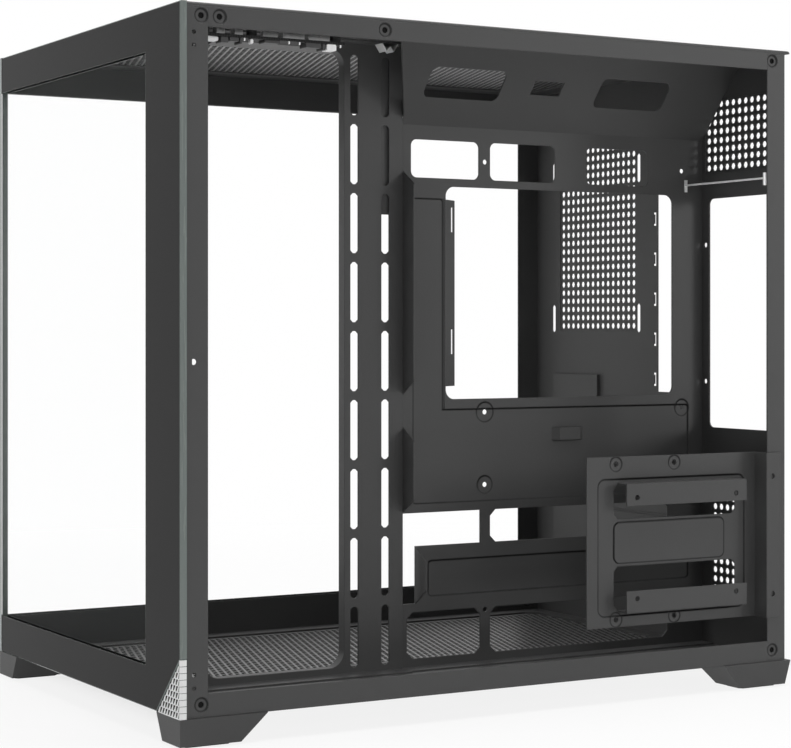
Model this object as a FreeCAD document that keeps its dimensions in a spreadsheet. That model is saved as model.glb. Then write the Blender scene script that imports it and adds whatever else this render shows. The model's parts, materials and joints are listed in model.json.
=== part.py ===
import FreeCAD, Part
import math
import os

import Sketcher

# A two-chamber tower case for an ATX board, in millimetres, with its right side panel taken off.
# X runs across the case (+X is the open cable side), Y from the front glass to the rear, Z up.
# The origin lies on the floor, under the middle of the case.

document = FreeCAD.newDocument("pc_case")
dims = document.addObject("Spreadsheet::Sheet", "dims")


class Size:
    """A length that is known both as a number and as an expression on the sheet of dimensions."""

    def __init__(self, number, text):
        self.number = float(number)
        self.text = text

    def __add__(self, other):
        other = as_size(other)
        return Size(self.number + other.number, f"({self.text} + {other.text})")

    def __radd__(self, other):
        return as_size(other) + self

    def __sub__(self, other):
        other = as_size(other)
        return Size(self.number - other.number, f"({self.text} - {other.text})")

    def __rsub__(self, other):
        return as_size(other) - self

    def __mul__(self, other):
        other = as_size(other)
        return Size(self.number * other.number, f"({self.text} * {other.text})")

    def __rmul__(self, other):
        return as_size(other) * self

    def __truediv__(self, other):
        other = as_size(other)
        return Size(self.number / other.number, f"({self.text} / {other.text})")

    def __neg__(self):
        return Size(-self.number, f"(0 - {self.text})")


def as_size(value):
    """Take a plain number as a size without a name."""
    return value if isinstance(value, Size) else Size(value, f"({float(value)!r})")


named_sizes = []


def dim(name, value):
    """Write one driving dimension on the sheet and give it back as a size."""
    named_sizes.append(name)
    row = len(named_sizes)
    dims.set(f"A{row}", name)
    dims.set(f"B{row}", str(value))
    dims.setAlias(f"B{row}", name)
    return Size(value, f"dims.{name}")


# Overall sizes
case_width = dim("case_width", 288)
case_length = dim("case_length", 424)
body_height = dim("body_height", 388)
foot_height = dim("foot_height", 16)
rear_overhang = dim("rear_overhang", 4)
steel = dim("steel_sheet", 1.0)
glass = dim("glass_sheet", 4.0)
glass_edge = dim("glass_edge_chamfer", 0.4)
fit_gap = dim("fit_gap", 0.4)
cover = dim("top_cover_thickness", 2.0)

# Rails, posts and bands that frame the open and the glazed sides
rail_height = dim("rail_height", 13)
band_height = dim("band_height", 23)
front_post = dim("front_post_width", 13)
front_post_depth = dim("front_post_depth", 42)
post_return = dim("front_post_return", 10)
rear_post = dim("rear_post_width", 14)
left_post = dim("left_post_width", 18)
dimple = dim("screw_dimple_radius", 4.2)
screw_hole = dim("screw_hole_radius", 1.7)

# Levels and planes worked out from the sizes above
x_right = case_width / 2
x_left = -x_right
x_rail = x_right - steel
x_band = x_left + glass + fit_gap
y_front = -case_length / 2
y_back = case_length / 2
y_glass = y_front + glass
y_rear = y_back - rear_overhang
y_wall = y_rear - steel
z_base = foot_height
z_floor = z_base + steel
z_top = foot_height + body_height
z_roof = z_top - cover
z_ceiling = z_roof - steel

PLANES = {"XY": ("XY_Plane", 1), "XZ": ("XZ_Plane", -1), "YZ": ("YZ_Plane", 1)}


def new_body(label):
    """Start a sub-part that is built feature by feature."""
    body = document.addObject("PartDesign::Body", label)
    body.Label = label
    return body


def vector(point):
    return FreeCAD.Vector(point[0].number, point[1].number, 0)


def new_sketch(body, plane, level):
    """Lay a sketch on one of the body's own planes, moved along the plane's normal to a level."""
    role, sense = PLANES[plane]
    support = [feature for feature in body.Origin.OriginFeatures if feature.Role == role][0]
    sketch = body.newObject("Sketcher::SketchObject", "Sketch")
    sketch.AttachmentSupport = [(support, "")]
    sketch.MapMode = "FlatFace"
    offset = level * sense
    sketch.AttachmentOffset = FreeCAD.Placement(FreeCAD.Vector(0, 0, offset.number), FreeCAD.Rotation())
    sketch.setExpression("AttachmentOffset.Base.z", offset.text)
    return sketch


def drive(sketch, length, kind, *where):
    """Add a measured constraint and bind it to the sheet."""
    index = sketch.addConstraint(Sketcher.Constraint(kind, *where, length.number))
    sketch.setExpression(f"Constraints[{index}]", length.text)


def pin(sketch, curve, point, place):
    """Hold one point of a sketch by its two distances from the sketch's origin."""
    drive(sketch, place[0], "DistanceX", -1, 1, curve, point)
    drive(sketch, place[1], "DistanceY", -1, 1, curve, point)


def polygon(sketch, corners):
    """Draw a closed outline of straight lines."""
    first = sketch.GeometryCount
    count = len(corners)
    for index in range(count):
        ends = corners[index], corners[(index + 1) % count]
        sketch.addGeometry(Part.LineSegment(vector(ends[0]), vector(ends[1])))
    for index in range(count):
        follower = first + (index + 1) % count
        sketch.addConstraint(Sketcher.Constraint("Coincident", first + index, 2, follower, 1))
    for index, corner in enumerate(corners):
        pin(sketch, first + index, 1, corner)


def rectangle(sketch, left, right, low, high):
    """Draw an upright rectangle with sharp corners."""
    polygon(sketch, [(left, low), (right, low), (right, high), (left, high)])


def arc(centre, radius, start):
    """A quarter arc that begins at a start angle in degrees."""
    circle = Part.Circle(vector(centre), FreeCAD.Vector(0, 0, 1), radius.number)
    return Part.ArcOfCircle(circle, math.radians(start), math.radians(start + 90))


def rounded(sketch, left, right, low, high, radius):
    """Draw an upright rectangle with rounded corners: four lines and four arcs, tangent in turn."""
    near_left, near_right = left + radius, right - radius
    near_low, near_high = low + radius, high - radius
    first = sketch.GeometryCount
    sketch.addGeometry(Part.LineSegment(vector((near_left, low)), vector((near_right, low))))
    sketch.addGeometry(arc((near_right, near_low), radius, 270))
    sketch.addGeometry(Part.LineSegment(vector((right, near_low)), vector((right, near_high))))
    sketch.addGeometry(arc((near_right, near_high), radius, 0))
    sketch.addGeometry(Part.LineSegment(vector((near_right, high)), vector((near_left, high))))
    sketch.addGeometry(arc((near_left, near_high), radius, 90))
    sketch.addGeometry(Part.LineSegment(vector((left, near_high)), vector((left, near_low))))
    sketch.addGeometry(arc((near_left, near_low), radius, 180))
    for index in range(8):
        follower = first + (index + 1) % 8
        sketch.addConstraint(Sketcher.Constraint("Tangent", first + index, 2, follower, 1))
    for index, kind in ((0, "Horizontal"), (2, "Vertical"), (4, "Horizontal"), (6, "Vertical")):
        sketch.addConstraint(Sketcher.Constraint(kind, first + index))
    for index in (3, 5, 7):
        sketch.addConstraint(Sketcher.Constraint("Equal", first + 1, first + index))
    drive(sketch, radius, "Radius", first + 1)
    drive(sketch, low, "DistanceY", -1, 1, first, 1)
    drive(sketch, right, "DistanceX", -1, 1, first + 2, 1)
    drive(sketch, high, "DistanceY", -1, 1, first + 4, 1)
    drive(sketch, left, "DistanceX", -1, 1, first + 6, 1)


def bevelled(sketch, left, right, low, high, bevel):
    """Draw an upright rectangle with cut-off corners."""
    polygon(sketch, [(left + bevel, low), (right - bevel, low), (right, low + bevel), (right, high - bevel),
                     (right - bevel, high), (left + bevel, high), (left, high - bevel), (left, low + bevel)])


def circle(sketch, across, up, radius):
    """Draw a round hole."""
    first = sketch.GeometryCount
    sketch.addGeometry(Part.Circle(vector((across, up)), FreeCAD.Vector(0, 0, 1), radius.number))
    pin(sketch, first, 3, (across, up))
    drive(sketch, radius, "Radius", first)


def diamond(sketch, across, up, half_width, half_height):
    """Draw a square that stands on its corner."""
    polygon(sketch, [(across - half_width, up), (across, up - half_height),
                     (across + half_width, up), (across, up + half_height)])


def extrude(body, kind, plane, low, high, draw):
    """Carry an outline from one level to another along the plane's normal."""
    sense = PLANES[plane][1]
    starts_low = (kind == "PartDesign::Pad") == (sense > 0)
    sketch = new_sketch(body, plane, low if starts_low else high)
    draw(sketch)
    feature = body.newObject(kind, "Feature")
    feature.Profile = sketch
    length = high - low
    feature.Length = length.number
    feature.setExpression("Length", length.text)
    return feature


def add(body, plane, low, high, draw):
    """Add material between two levels."""
    return extrude(body, "PartDesign::Pad", plane, low, high, draw)


def cut(body, plane, low, high, draw):
    """Cut material away between two levels."""
    return extrude(body, "PartDesign::Pocket", plane, low, high, draw)


def repeat(body, feature, axis, step, count, second_step=None, second_count=1):
    """Repeat a feature along one sketch axis, and along the other one too where a second step is given."""
    pattern = body.newObject("PartDesign::LinearPattern", "Pattern")
    pattern.Originals = [feature]
    sketch = feature.Profile[0]
    pattern.Direction = (sketch, [axis])
    pattern.Mode = "Spacing"
    pattern.Occurrences = count
    pattern.Offset = step.number
    pattern.setExpression("Offset", step.text)
    if second_step is not None:
        pattern.Direction2 = (sketch, ["V_Axis" if axis == "H_Axis" else "H_Axis"])
        pattern.Mode2 = "Spacing"
        pattern.Occurrences2 = second_count
        pattern.Spacings2 = [-1.0] * (second_count - 1)
        pattern.Offset2 = second_step.number
        pattern.setExpression("Offset2", second_step.text)
    body.Tip = pattern
    return pattern


def soften(body, radius, wanted, kind="PartDesign::Fillet"):
    """Round or chamfer the edges whose middle point and direction pass a test."""
    document.recompute()
    base = body.Tip
    names = []
    for index, edge in enumerate(base.Shape.Edges):
        middle = edge.valueAt((edge.FirstParameter + edge.LastParameter) / 2)
        if wanted(middle, edge):
            names.append(f"Edge{index + 1}")
    feature = body.newObject(kind, "Softened")
    feature.Base = (base, names)
    size_name = "Radius" if kind == "PartDesign::Fillet" else "Size"
    setattr(feature, size_name, radius.number)
    feature.setExpression(size_name, radius.text)
    return feature


def near(value, size):
    return abs(value - size.number) < 1e-4


def dimpled_holes(body, places):
    """Press a shallow dimple with a screw hole into the right-hand face at each (y, z) place."""
    def dimples(sketch):
        for across, up in places:
            circle(sketch, across, up, dimple)

    def holes(sketch):
        for across, up in places:
            circle(sketch, across, up, screw_hole)
    cut(body, "YZ", x_rail - steel / 2, x_rail, dimples)
    cut(body, "YZ", x_rail - 2 * steel, x_rail + steel, holes)


# The wall between the two chambers stands at a fixed distance from the open side
tray_inset = dim("tray_inset", 84)
tray_x = x_right - tray_inset

# Floor and roof of the chassis: folded sheets with rails on the open side, bands behind the glass
top_vent_left = x_band + dim("top_vent_left_margin", 21.6)
bottom_vent_left = x_left + dim("bottom_vent_left_margin", 34)
vent_half_length = case_length / 2 - dim("vent_end_margin", 27)
top_vent_right = tray_x - dim("top_vent_right_margin", 56)
bottom_vent_right = tray_x - dim("bottom_vent_right_margin", 20)
vent_corner = dim("vent_corner_radius", 8)
y_post_front = y_glass + front_post
y_post_rear = y_rear - rear_post
z_rail_low = z_base + rail_height
z_rail_high = z_top - rail_height
z_band_low = z_base + band_height
z_band_high = z_top - band_height
x_front_leg = x_rail - front_post_depth
y_left_end = y_rear - left_post
dimple_edge = dim("dimple_from_case_edge", 7.2)
dimple_mid = dim("middle_dimple_from_front", 127.6)
dimple_pair = dim("dimple_pair_spacing", 11)
dimple_front = y_post_front - dim("dimple_on_post", 4)
dimple_rear = y_rear - dim("dimple_from_rear", 10)


def folded_sheet(label, plate, rail, band, opening_left, opening_right):
    """A horizontal sheet with folded rails: each pair gives the low and the high level of a fold."""
    body = new_body(label)
    add(body, "XY", *plate, lambda s: rectangle(s, x_band, x_rail, y_glass, y_wall))
    add(body, "XY", *rail, lambda s: rectangle(s, x_rail - steel, x_rail, y_post_front, y_post_rear))
    add(body, "XY", *band, lambda s: rectangle(s, x_band, x_band + steel, y_glass, y_left_end))
    add(body, "XY", *band, lambda s: rectangle(s, x_band, x_front_leg, y_glass, y_glass + steel))
    cut(body, "XY", plate[0] - steel, plate[1] + steel, lambda s: rounded(
        s, opening_left, opening_right, -vent_half_length, vent_half_length, vent_corner))
    return body


base_frame = folded_sheet("base_frame", (z_base, z_floor), (z_base, z_rail_low),
                          (z_base, z_band_low), bottom_vent_left, bottom_vent_right)
top_frame = folded_sheet("top_frame", (z_ceiling, z_roof), (z_rail_high, z_roof),
                         (z_band_high, z_roof), top_vent_left, top_vent_right)
dimpled_holes(top_frame, [(dimple_front + dimple_pair, z_top - dimple_edge),
                          (y_front + dimple_mid, z_top - dimple_edge)])

# Front panel sockets and buttons stand in a strip of the roof, near the open side
strip_left = x_right - dim("io_strip_from_edge", 25)
strip_right = strip_left + dim("io_strip_width", 18)
strip_front = y_front + dim("io_strip_from_front", 16)
strip_rear = strip_front + dim("io_strip_length", 92)
strip_seat = dim("io_strip_seat", 2)
strip_corner = dim("io_strip_corner", 3)
strip_middle = (strip_left + strip_right) / 2
cut(top_frame, "XY", z_ceiling - steel, z_roof + steel, lambda s: rectangle(
    s, strip_left + strip_seat, strip_right - strip_seat, strip_front + strip_seat, strip_rear - strip_seat))

# Roof cover with its mesh, which lies in the cover's opening on the roof sheet
ledge = dim("mesh_ledge", 4)
mesh_sheet = dim("mesh_sheet", 1.2)
cover_round = dim("cover_edge_radius", 1.4)
top_panel = new_body("top_panel")
add(top_panel, "XY", z_roof, z_top, lambda s: rectangle(s, x_band, x_rail, y_glass + fit_gap, y_back))
cut(top_panel, "XY", z_roof - steel, z_top + steel, lambda s: rounded(
    s, top_vent_left - ledge, top_vent_right + ledge, -vent_half_length - ledge, vent_half_length + ledge,
    vent_corner))
cut(top_panel, "XY", z_roof - steel, z_top + steel, lambda s: rounded(
    s, strip_left, strip_right, strip_front, strip_rear, strip_corner))
soften(top_panel, cover_round, lambda p, e: near(p.z, z_top) and (near(p.x, x_rail) or near(p.y, y_back)))

mesh_border = dim("mesh_border", 8)
MESH_ROWS = 7
MESH_COLUMNS = 3
MESH_GAP_SHARE = 0.42


def mesh_panel(label, low, left, right, half_length):
    """A thin sheet with a grid of square gaps that stand on their corners."""
    body = new_body(label)
    add(body, "XY", low, low + mesh_sheet, lambda s: bevelled(
        s, left + fit_gap, right - fit_gap, -half_length + fit_gap, half_length - fit_gap, vent_corner))
    step_x = (right - left - 2 * mesh_border) / MESH_COLUMNS
    step_y = (half_length * 2 - 2 * mesh_border) / MESH_ROWS
    gap = cut(body, "XY", low - steel, low + mesh_sheet + steel, lambda s: diamond(
        s, left + mesh_border + step_x / 2, -half_length + mesh_border + step_y / 2,
        step_x * MESH_GAP_SHARE, step_y * MESH_GAP_SHARE))
    repeat(body, gap, "H_Axis", step_x, MESH_COLUMNS, step_y, MESH_ROWS)
    return body


top_mesh = mesh_panel("top_mesh", z_roof, top_vent_left - ledge, top_vent_right + ledge,
                      vent_half_length + ledge)

# Dust filter on the floor: a frame round the opening with a mesh in it
filter_depth = dim("filter_frame_depth", 2.4)
filter_width = dim("filter_frame_width", 7)
filter_left = bottom_vent_left - filter_width
filter_right = bottom_vent_right + filter_width
filter_half = vent_half_length + filter_width
bottom_filter_frame = new_body("bottom_filter_frame")
add(bottom_filter_frame, "XY", z_floor, z_floor + filter_depth, lambda s: bevelled(
    s, filter_left, filter_right, -filter_half, filter_half, vent_corner))
cut(bottom_filter_frame, "XY", z_floor - steel, z_floor + filter_depth + steel, lambda s: bevelled(
    s, bottom_vent_left, bottom_vent_right, -vent_half_length, vent_half_length, vent_corner))
bottom_mesh = mesh_panel("bottom_mesh", z_floor, bottom_vent_left, bottom_vent_right, vent_half_length)

# Post at the front right corner: a folded channel behind the glass
SLOT_BEVEL_SHARE = 0.6
front_right_post = new_body("front_right_post")
add(front_right_post, "XY", z_floor, z_ceiling, lambda s: polygon(s, [
    (x_rail, y_post_front), (x_rail - steel, y_post_front), (x_rail - steel, y_glass + steel),
    (x_front_leg + steel, y_glass + steel), (x_front_leg + steel, y_glass + post_return),
    (x_front_leg, y_glass + post_return), (x_front_leg, y_glass), (x_rail, y_glass)]))
post_hole = y_glass + dim("post_hole_from_glass", 4.6)
post_hole_height = (z_floor + z_ceiling) / 2
post_pin = dim("post_pin_half_width", 1.2)
post_pin_edge = dim("post_pin_edge", 16.4)
post_pin_pitch = dim("post_pin_pitch", 7.2)


def post_holes(sketch):
    """A round hole half way up, and two small pin holes near each end."""
    circle(sketch, post_hole, post_hole_height, screw_hole)
    for height in (z_base + post_pin_edge, z_base + post_pin_edge + post_pin_pitch,
                   z_top - post_pin_edge, z_top - post_pin_edge - post_pin_pitch):
        bevelled(sketch, post_hole - post_pin, post_hole + post_pin, height - post_pin, height + post_pin,
                 post_pin * SLOT_BEVEL_SHARE)


cut(front_right_post, "YZ", x_rail - 2 * steel, x_rail + steel, post_holes)
dimpled_holes(front_right_post, [(dimple_front, z_top - dimple_edge), (dimple_front, z_base + dimple_edge)])

# Tempered glass on the front and on the left; the front pane gives up one corner to the trim
trim_width = dim("corner_trim_width", 32)
trim_height = dim("corner_trim_height", 33)
front_glass = new_body("front_glass")
add(front_glass, "XZ", y_front, y_glass, lambda s: polygon(s, [
    (x_band, z_base), (x_right - trim_width, z_base), (x_right, z_base + trim_height), (x_right, z_top),
    (x_band, z_top)]))
soften(front_glass, glass_edge, lambda p, e: near(p.y, y_front), "PartDesign::Chamfer")
left_glass = new_body("left_glass")
add(left_glass, "YZ", x_left, x_left + glass, lambda s: rectangle(s, y_front, y_rear, z_base, z_top))
soften(left_glass, glass_edge, lambda p, e: near(p.x, x_left), "PartDesign::Chamfer")

# Corner trim: a small triangle with rows of slanted gaps, one gap fewer in each row above
TRIM_ROWS = 7
trim_rib = dim("corner_trim_rib", 1.2)
trim_lean = dim("corner_trim_lean", 1.1)
trim_gap = dim("corner_trim_gap", 1.9)
trim_depth = dim("corner_trim_gap_depth", 2.5)
trim_edge = dim("corner_trim_edge", 1.6)
corner_trim = new_body("corner_trim")
add(corner_trim, "XZ", y_front, y_glass, lambda s: polygon(s, [
    (x_right - trim_width, z_base), (x_right, z_base), (x_right, z_base + trim_height)]))
trim_step_x = trim_width / (TRIM_ROWS + 1)
trim_step_z = trim_height / (TRIM_ROWS + 1)


def slanted_gap(sketch, row):
    """One leaning gap at the right-hand end of a row."""
    right = x_right - trim_edge - trim_lean
    low = z_base + trim_step_z * row + trim_rib
    high = z_base + trim_step_z * (row + 1)
    polygon(sketch, [(right - trim_gap, low), (right, low), (right + trim_lean, high),
                     (right - trim_gap + trim_lean, high)])


for row in range(TRIM_ROWS):
    slanted = cut(corner_trim, "XZ", y_front, y_front + trim_depth, lambda s: slanted_gap(s, row))
    gaps = TRIM_ROWS - row
    if gaps > 1:
        repeat(corner_trim, slanted, "H_Axis", trim_step_x, gaps).Reversed = True

# Wall between the two chambers, one folded sheet: it carries the board, and leans out under the roof
tray_front = y_wall - dim("tray_length", 233)
tray_bend = z_ceiling - dim("slant_height", 48)
slant_run = dim("slant_run", 40)
tray_foot = dim("tray_foot_flange", 12)
motherboard_tray = new_body("motherboard_tray")
add(motherboard_tray, "XZ", tray_front, y_wall, lambda s: polygon(s, [
    (tray_x + tray_foot, z_floor), (tray_x + tray_foot, z_floor + steel), (tray_x, z_floor + steel),
    (tray_x, tray_bend), (tray_x + slant_run, z_ceiling - steel),
    (tray_x + slant_run + tray_foot, z_ceiling - steel), (tray_x + slant_run + tray_foot, z_ceiling),
    (tray_x + slant_run - steel, z_ceiling), (tray_x - steel, tray_bend), (tray_x - steel, z_floor)]))

# The lean runs on in front of the fan bracket, up to a slanted edge
slant_lead = dim("slant_lead", 22)
slant_lead_low = tray_bend + dim("slant_lead_rise", 4)
add(motherboard_tray, "XZ", tray_front - slant_lead, tray_front, lambda s: polygon(s, [
    (tray_x, tray_bend), (tray_x + slant_run, z_ceiling - steel), (tray_x + slant_run, z_ceiling),
    (tray_x + slant_run - steel, z_ceiling), (tray_x - steel, tray_bend)]))
cut(motherboard_tray, "YZ", tray_x - 2 * steel, tray_x + slant_run, lambda s: polygon(s, [
    (tray_front - slant_lead - steel, tray_bend - steel), (tray_front, tray_bend - steel),
    (tray_front, slant_lead_low), (tray_front - slant_lead - steel, z_ceiling)]))

# Board pattern: columns and rows of the standard, measured from the hole nearest the rear and the top
standoff_setback = dim("standoff_setback", 17)
column_pitch = dim("board_column_pitch", 154.94)
middle_row_drop = dim("board_middle_row_drop", 157.48)
short_row_drop = dim("board_short_row_drop", 203.2)
low_row_drop = dim("board_low_row_drop", 281.94)
board_middle = (z_floor + tray_bend) / 2 + dim("board_middle_rise", 6.03)
top_row = board_middle + low_row_drop / 2
standoff_hole = dim("standoff_hole_radius", 1.6)
rear_column = y_wall - standoff_setback
middle_column = rear_column - column_pitch
board_rows = [top_row, top_row - middle_row_drop, top_row - short_row_drop, top_row - low_row_drop]

CABLE_HOLE_SHARE = 0.581
cable_high = top_row + (tray_bend - top_row) * CABLE_HOLE_SHARE
cable_low = top_row - dim("cable_hole_drop", 11.4)
cpu_front = tray_front + dim("cpu_window_front", 32.1)
cpu_rear = y_wall - dim("cpu_window_rear_edge", 25)
cpu_low = board_rows[1] + dim("cpu_window_rise", 8.5)
cpu_high = cable_low - dim("cpu_window_drop", 5)
cpu_corner = dim("cpu_window_corner", 6)
cable_corner = dim("cable_hole_corner", 4)
cable_length = dim("cable_hole_length", 49.5)
cable_first = tray_front + dim("cable_hole_edge", 7)
cable_second = cable_first + dim("cable_hole_second_pitch", 57.8)
cable_fronts = [cable_first, cable_second, cable_second + dim("cable_hole_third_pitch", 73.7)]
web = dim("tray_web", 7.4)
web_front = middle_column - web / 2
web_rear = middle_column + web / 2
gap_corner = dim("tray_gap_corner", 4)
gap_high = board_rows[2] - dim("upper_gap_drop", 15.8)
gap_low = z_floor + dim("lower_gap_edge", 6)
CROSSBAR_SHARE = 0.36
bar_high = gap_high - dim("upper_gap_height", 20.5)
bar_low = z_floor + (gap_high - z_floor) * CROSSBAR_SHARE
bar_front = tray_front + dim("crossbar_setback", 10)
bar_arm = dim("crossbar_arm", 5.5)
gap_rear = y_wall - dim("tray_gap_rear_edge", 29)
tray_strip = dim("tray_front_strip", 4)
press = steel / 2


def tray_openings(sketch):
    """The board window, three cable holes, and the gaps above and below the crossbar."""
    rounded(sketch, cpu_front, cpu_rear, cpu_low, cpu_high, cpu_corner)
    for place in cable_fronts:
        rounded(sketch, place, place + cable_length, cable_low, cable_high, cable_corner)
    bevelled(sketch, web_rear, gap_rear, bar_high, gap_high, gap_corner)
    bevelled(sketch, web_rear, gap_rear, gap_low, bar_low, gap_corner)
    bevelled(sketch, tray_front + tray_strip, web_front, gap_low, bar_low, gap_corner)
    polygon(sketch, [(tray_front - steel, bar_low + bar_arm), (bar_front, bar_low + bar_arm),
                     (bar_front, bar_high), (web_front, bar_high), (web_front, gap_high),
                     (tray_front - steel, gap_high)])
    for column in (middle_column, rear_column):
        for height in board_rows:
            circle(sketch, column, height, standoff_hole)


cut(motherboard_tray, "YZ", tray_x - 2 * steel, tray_x + steel, tray_openings)

# A lug of the wall lies behind the fan bracket
tray_lug = dim("tray_lug", 20)
tray_lug_low = top_row - dim("tray_lug_drop", 35)
add(motherboard_tray, "YZ", tray_x - steel, tray_x, lambda s: rectangle(
    s, tray_front - tray_lug, tray_front, tray_lug_low, z_ceiling))

# Two windows in the leaning wall
slant_window_low = tray_bend + dim("slant_window_rise", 16)
slant_window_high = slant_window_low + dim("slant_window_height", 17)
slant_window_length = dim("slant_window_length", 54)
bridge_length = dim("cable_bridge_length", 22)
bridge_height = dim("cable_bridge_height", 8)
slit_front = tray_front + dim("slant_slit_place", 83)
slit_low = tray_bend + dim("slant_slit_rise", 21)
slant_first = tray_front + dim("slant_window_edge", 6.7)
slant_window_places = [slant_first, slant_first + dim("slant_window_pitch", 126.3)]


def slant_windows(sketch):
    for place in slant_window_places:
        rounded(sketch, place, place + slant_window_length, slant_window_low, slant_window_high, gap_corner)
    rectangle(sketch, slit_front, slit_front + bridge_length, slit_low, slit_low + bridge_height)


cut(motherboard_tray, "YZ", tray_x, tray_x + slant_run, slant_windows)

# Pressed panels of the wall: an angle beside the board window and a long field on the crossbar
press_edge = dim("pressed_panel_edge", 8.6)
press_low = gap_high + dim("pressed_panel_rise", 5.7)
press_bend = board_rows[1] + dim("pressed_panel_bend", 2)
press_high = cpu_high - dim("pressed_panel_drop", 8)
press_rear = y_wall - dim("pressed_panel_rear_edge", 12)
bar_press = dim("crossbar_panel_edge", 9.5)
bridge_front = tray_front + dim("cable_bridge_place", 113)
bridge_low = board_rows[1] - dim("cable_bridge_drop", 19)
bridge_rise = dim("cable_bridge_rise", 3)


def pressed_panels(sketch):
    polygon(sketch, [(tray_front + press_edge, press_low), (middle_column - standoff_setback, press_low),
                     (middle_column - standoff_setback, press_bend), (cpu_front - steel, press_bend),
                     (cpu_front - steel, press_high), (tray_front + press_edge, press_high)])
    polygon(sketch, [(middle_column + standoff_setback, press_low), (press_rear, press_low),
                     (press_rear, press_bend), (middle_column + standoff_setback, press_bend)])
    rectangle(sketch, bar_front + bar_press, press_rear, bar_low + bar_press, bar_high - bar_press)


cut(motherboard_tray, "YZ", tray_x - press, tray_x, pressed_panels)

# A bridge lanced out of the wall for cable ties
bridge_rear = bridge_front + bridge_length
cut(motherboard_tray, "YZ", tray_x - 2 * steel, tray_x, lambda s: rectangle(
    s, bridge_front, bridge_rear, bridge_low, bridge_low + bridge_height))
add(motherboard_tray, "XY", bridge_low, bridge_low + bridge_height, lambda s: polygon(s, [
    (tray_x - steel, bridge_front - steel), (tray_x - press, bridge_front - steel),
    (tray_x + bridge_rise, bridge_front + bridge_rise), (tray_x + bridge_rise, bridge_rear - bridge_rise),
    (tray_x - press, bridge_rear + steel), (tray_x - steel, bridge_rear + steel),
    (tray_x + bridge_rise - steel, bridge_rear - bridge_rise - steel),
    (tray_x + bridge_rise - steel, bridge_front + bridge_rise + steel)]))

# Folds on the wall's front edges, with slanted ends, and the bent tab of the board window
edge_fold = dim("edge_fold_width", 15)
fold_slope = dim("edge_fold_slope", 9)
fold_high = cable_low + dim("edge_fold_lap", 4)
fold_mid_high = cpu_low + dim("edge_fold_rise", 3)
fold_mid_low = press_bend - dim("edge_fold_drop", 9.5)
bar_fold = dim("crossbar_fold_width", 12.4)
tab_depth = dim("window_tab_depth", 9)
tab_reach = dim("window_tab_reach", 12)
tab_margin = dim("window_tab_margin", 8)


def fold(edge, low, high, width):
    """A strip folded towards the open side along one front edge of the wall."""
    add(motherboard_tray, "XZ", edge, edge + steel, lambda s: polygon(s, [
        (tray_x - steel, low), (tray_x, low), (tray_x + width, low + fold_slope),
        (tray_x + width, high - fold_slope), (tray_x, high), (tray_x - steel, high)]))


fold(tray_front, fold_mid_high, fold_high, edge_fold)
fold(tray_front, gap_high, fold_mid_low, edge_fold)
fold(bar_front, bar_low + bar_arm, bar_high, bar_fold)
add(motherboard_tray, "XY", cpu_low + tab_margin, cpu_high - tab_margin, lambda s: polygon(s, [
    (tray_x - steel, cpu_front - steel), (tray_x, cpu_front - steel),
    (tray_x - tab_depth, cpu_front + tab_reach), (tray_x - tab_depth - steel, cpu_front + tab_reach)]))
tab_slot_front = cpu_front + dim("window_tab_slot_setback", 7.5)
tab_slot_width = dim("window_tab_slot_width", 2.4)
tab_slot_height = dim("window_tab_slot_height", 15.5)
tab_slot_margin = dim("window_tab_slot_margin", 28)
tab_slot_lows = [cpu_low + tab_slot_margin, cpu_high - tab_slot_margin]


def tab_slots(sketch):
    for low in tab_slot_lows:
        rectangle(sketch, tab_slot_front, tab_slot_front + tab_slot_width, low, low + tab_slot_height)


cut(motherboard_tray, "YZ", tray_x - tab_depth - 2 * steel, tray_x - 2 * steel, tab_slots)

# Bracket for side fans in front of the wall: three columns of slots and one flanged opening
FAN_SLOTS = 9
bracket_lift = dim("fan_bracket_lift", 2)
bracket_x = tray_x + bracket_lift
bracket_front = y_glass + dim("fan_bracket_from_glass", 34)
fan_open_front = bracket_front + dim("fan_opening_front_edge", 14)
fan_open_rear = tray_front - dim("fan_opening_rear_edge", 41)
fan_open_edge = dim("fan_opening_edge", 5)
fan_open_corner = dim("fan_opening_corner", 10)
fan_lip = dim("fan_opening_lip", 6)
fan_slot_radius = dim("fan_slot_radius", 2.7)
fan_slot_bridge = dim("fan_slot_bridge", 5.4)
fan_slot_pitch = (z_ceiling - z_floor - dim("fan_slot_end_margin", 6.9)) / FAN_SLOTS
fan_slot_first = z_floor + fan_slot_pitch / 2 + dim("fan_slot_rise", 1.75)
fan_column = tray_front - dim("fan_column_rear", 34)
fan_column_front = bracket_front + dim("fan_column_front", 9)
fan_column_inner = tray_front - dim("fan_column_inner", 12.4)
open_low = z_floor + fan_open_edge
open_high = z_ceiling - fan_open_edge
side_fan_bracket = new_body("side_fan_bracket")
add(side_fan_bracket, "XZ", bracket_front, tray_front, lambda s: polygon(s, [
    (bracket_x - steel, z_floor), (bracket_x + tray_foot, z_floor), (bracket_x + tray_foot, z_floor + steel),
    (bracket_x, z_floor + steel), (bracket_x, z_ceiling - steel), (bracket_x + tray_foot, z_ceiling - steel),
    (bracket_x + tray_foot, z_ceiling), (bracket_x - steel, z_ceiling)]))
cut(side_fan_bracket, "YZ", bracket_x - 2 * steel, bracket_x + steel, lambda s: rounded(
    s, fan_open_front, fan_open_rear, open_low, open_high, fan_open_corner))


def lip_ring(sketch):
    rounded(sketch, fan_open_front - steel, fan_open_rear + steel, open_low - steel, open_high + steel,
            fan_open_corner + steel)
    rounded(sketch, fan_open_front, fan_open_rear, open_low, open_high, fan_open_corner)


add(side_fan_bracket, "YZ", bracket_x - steel - fan_lip, bracket_x - steel, lip_ring)


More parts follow.
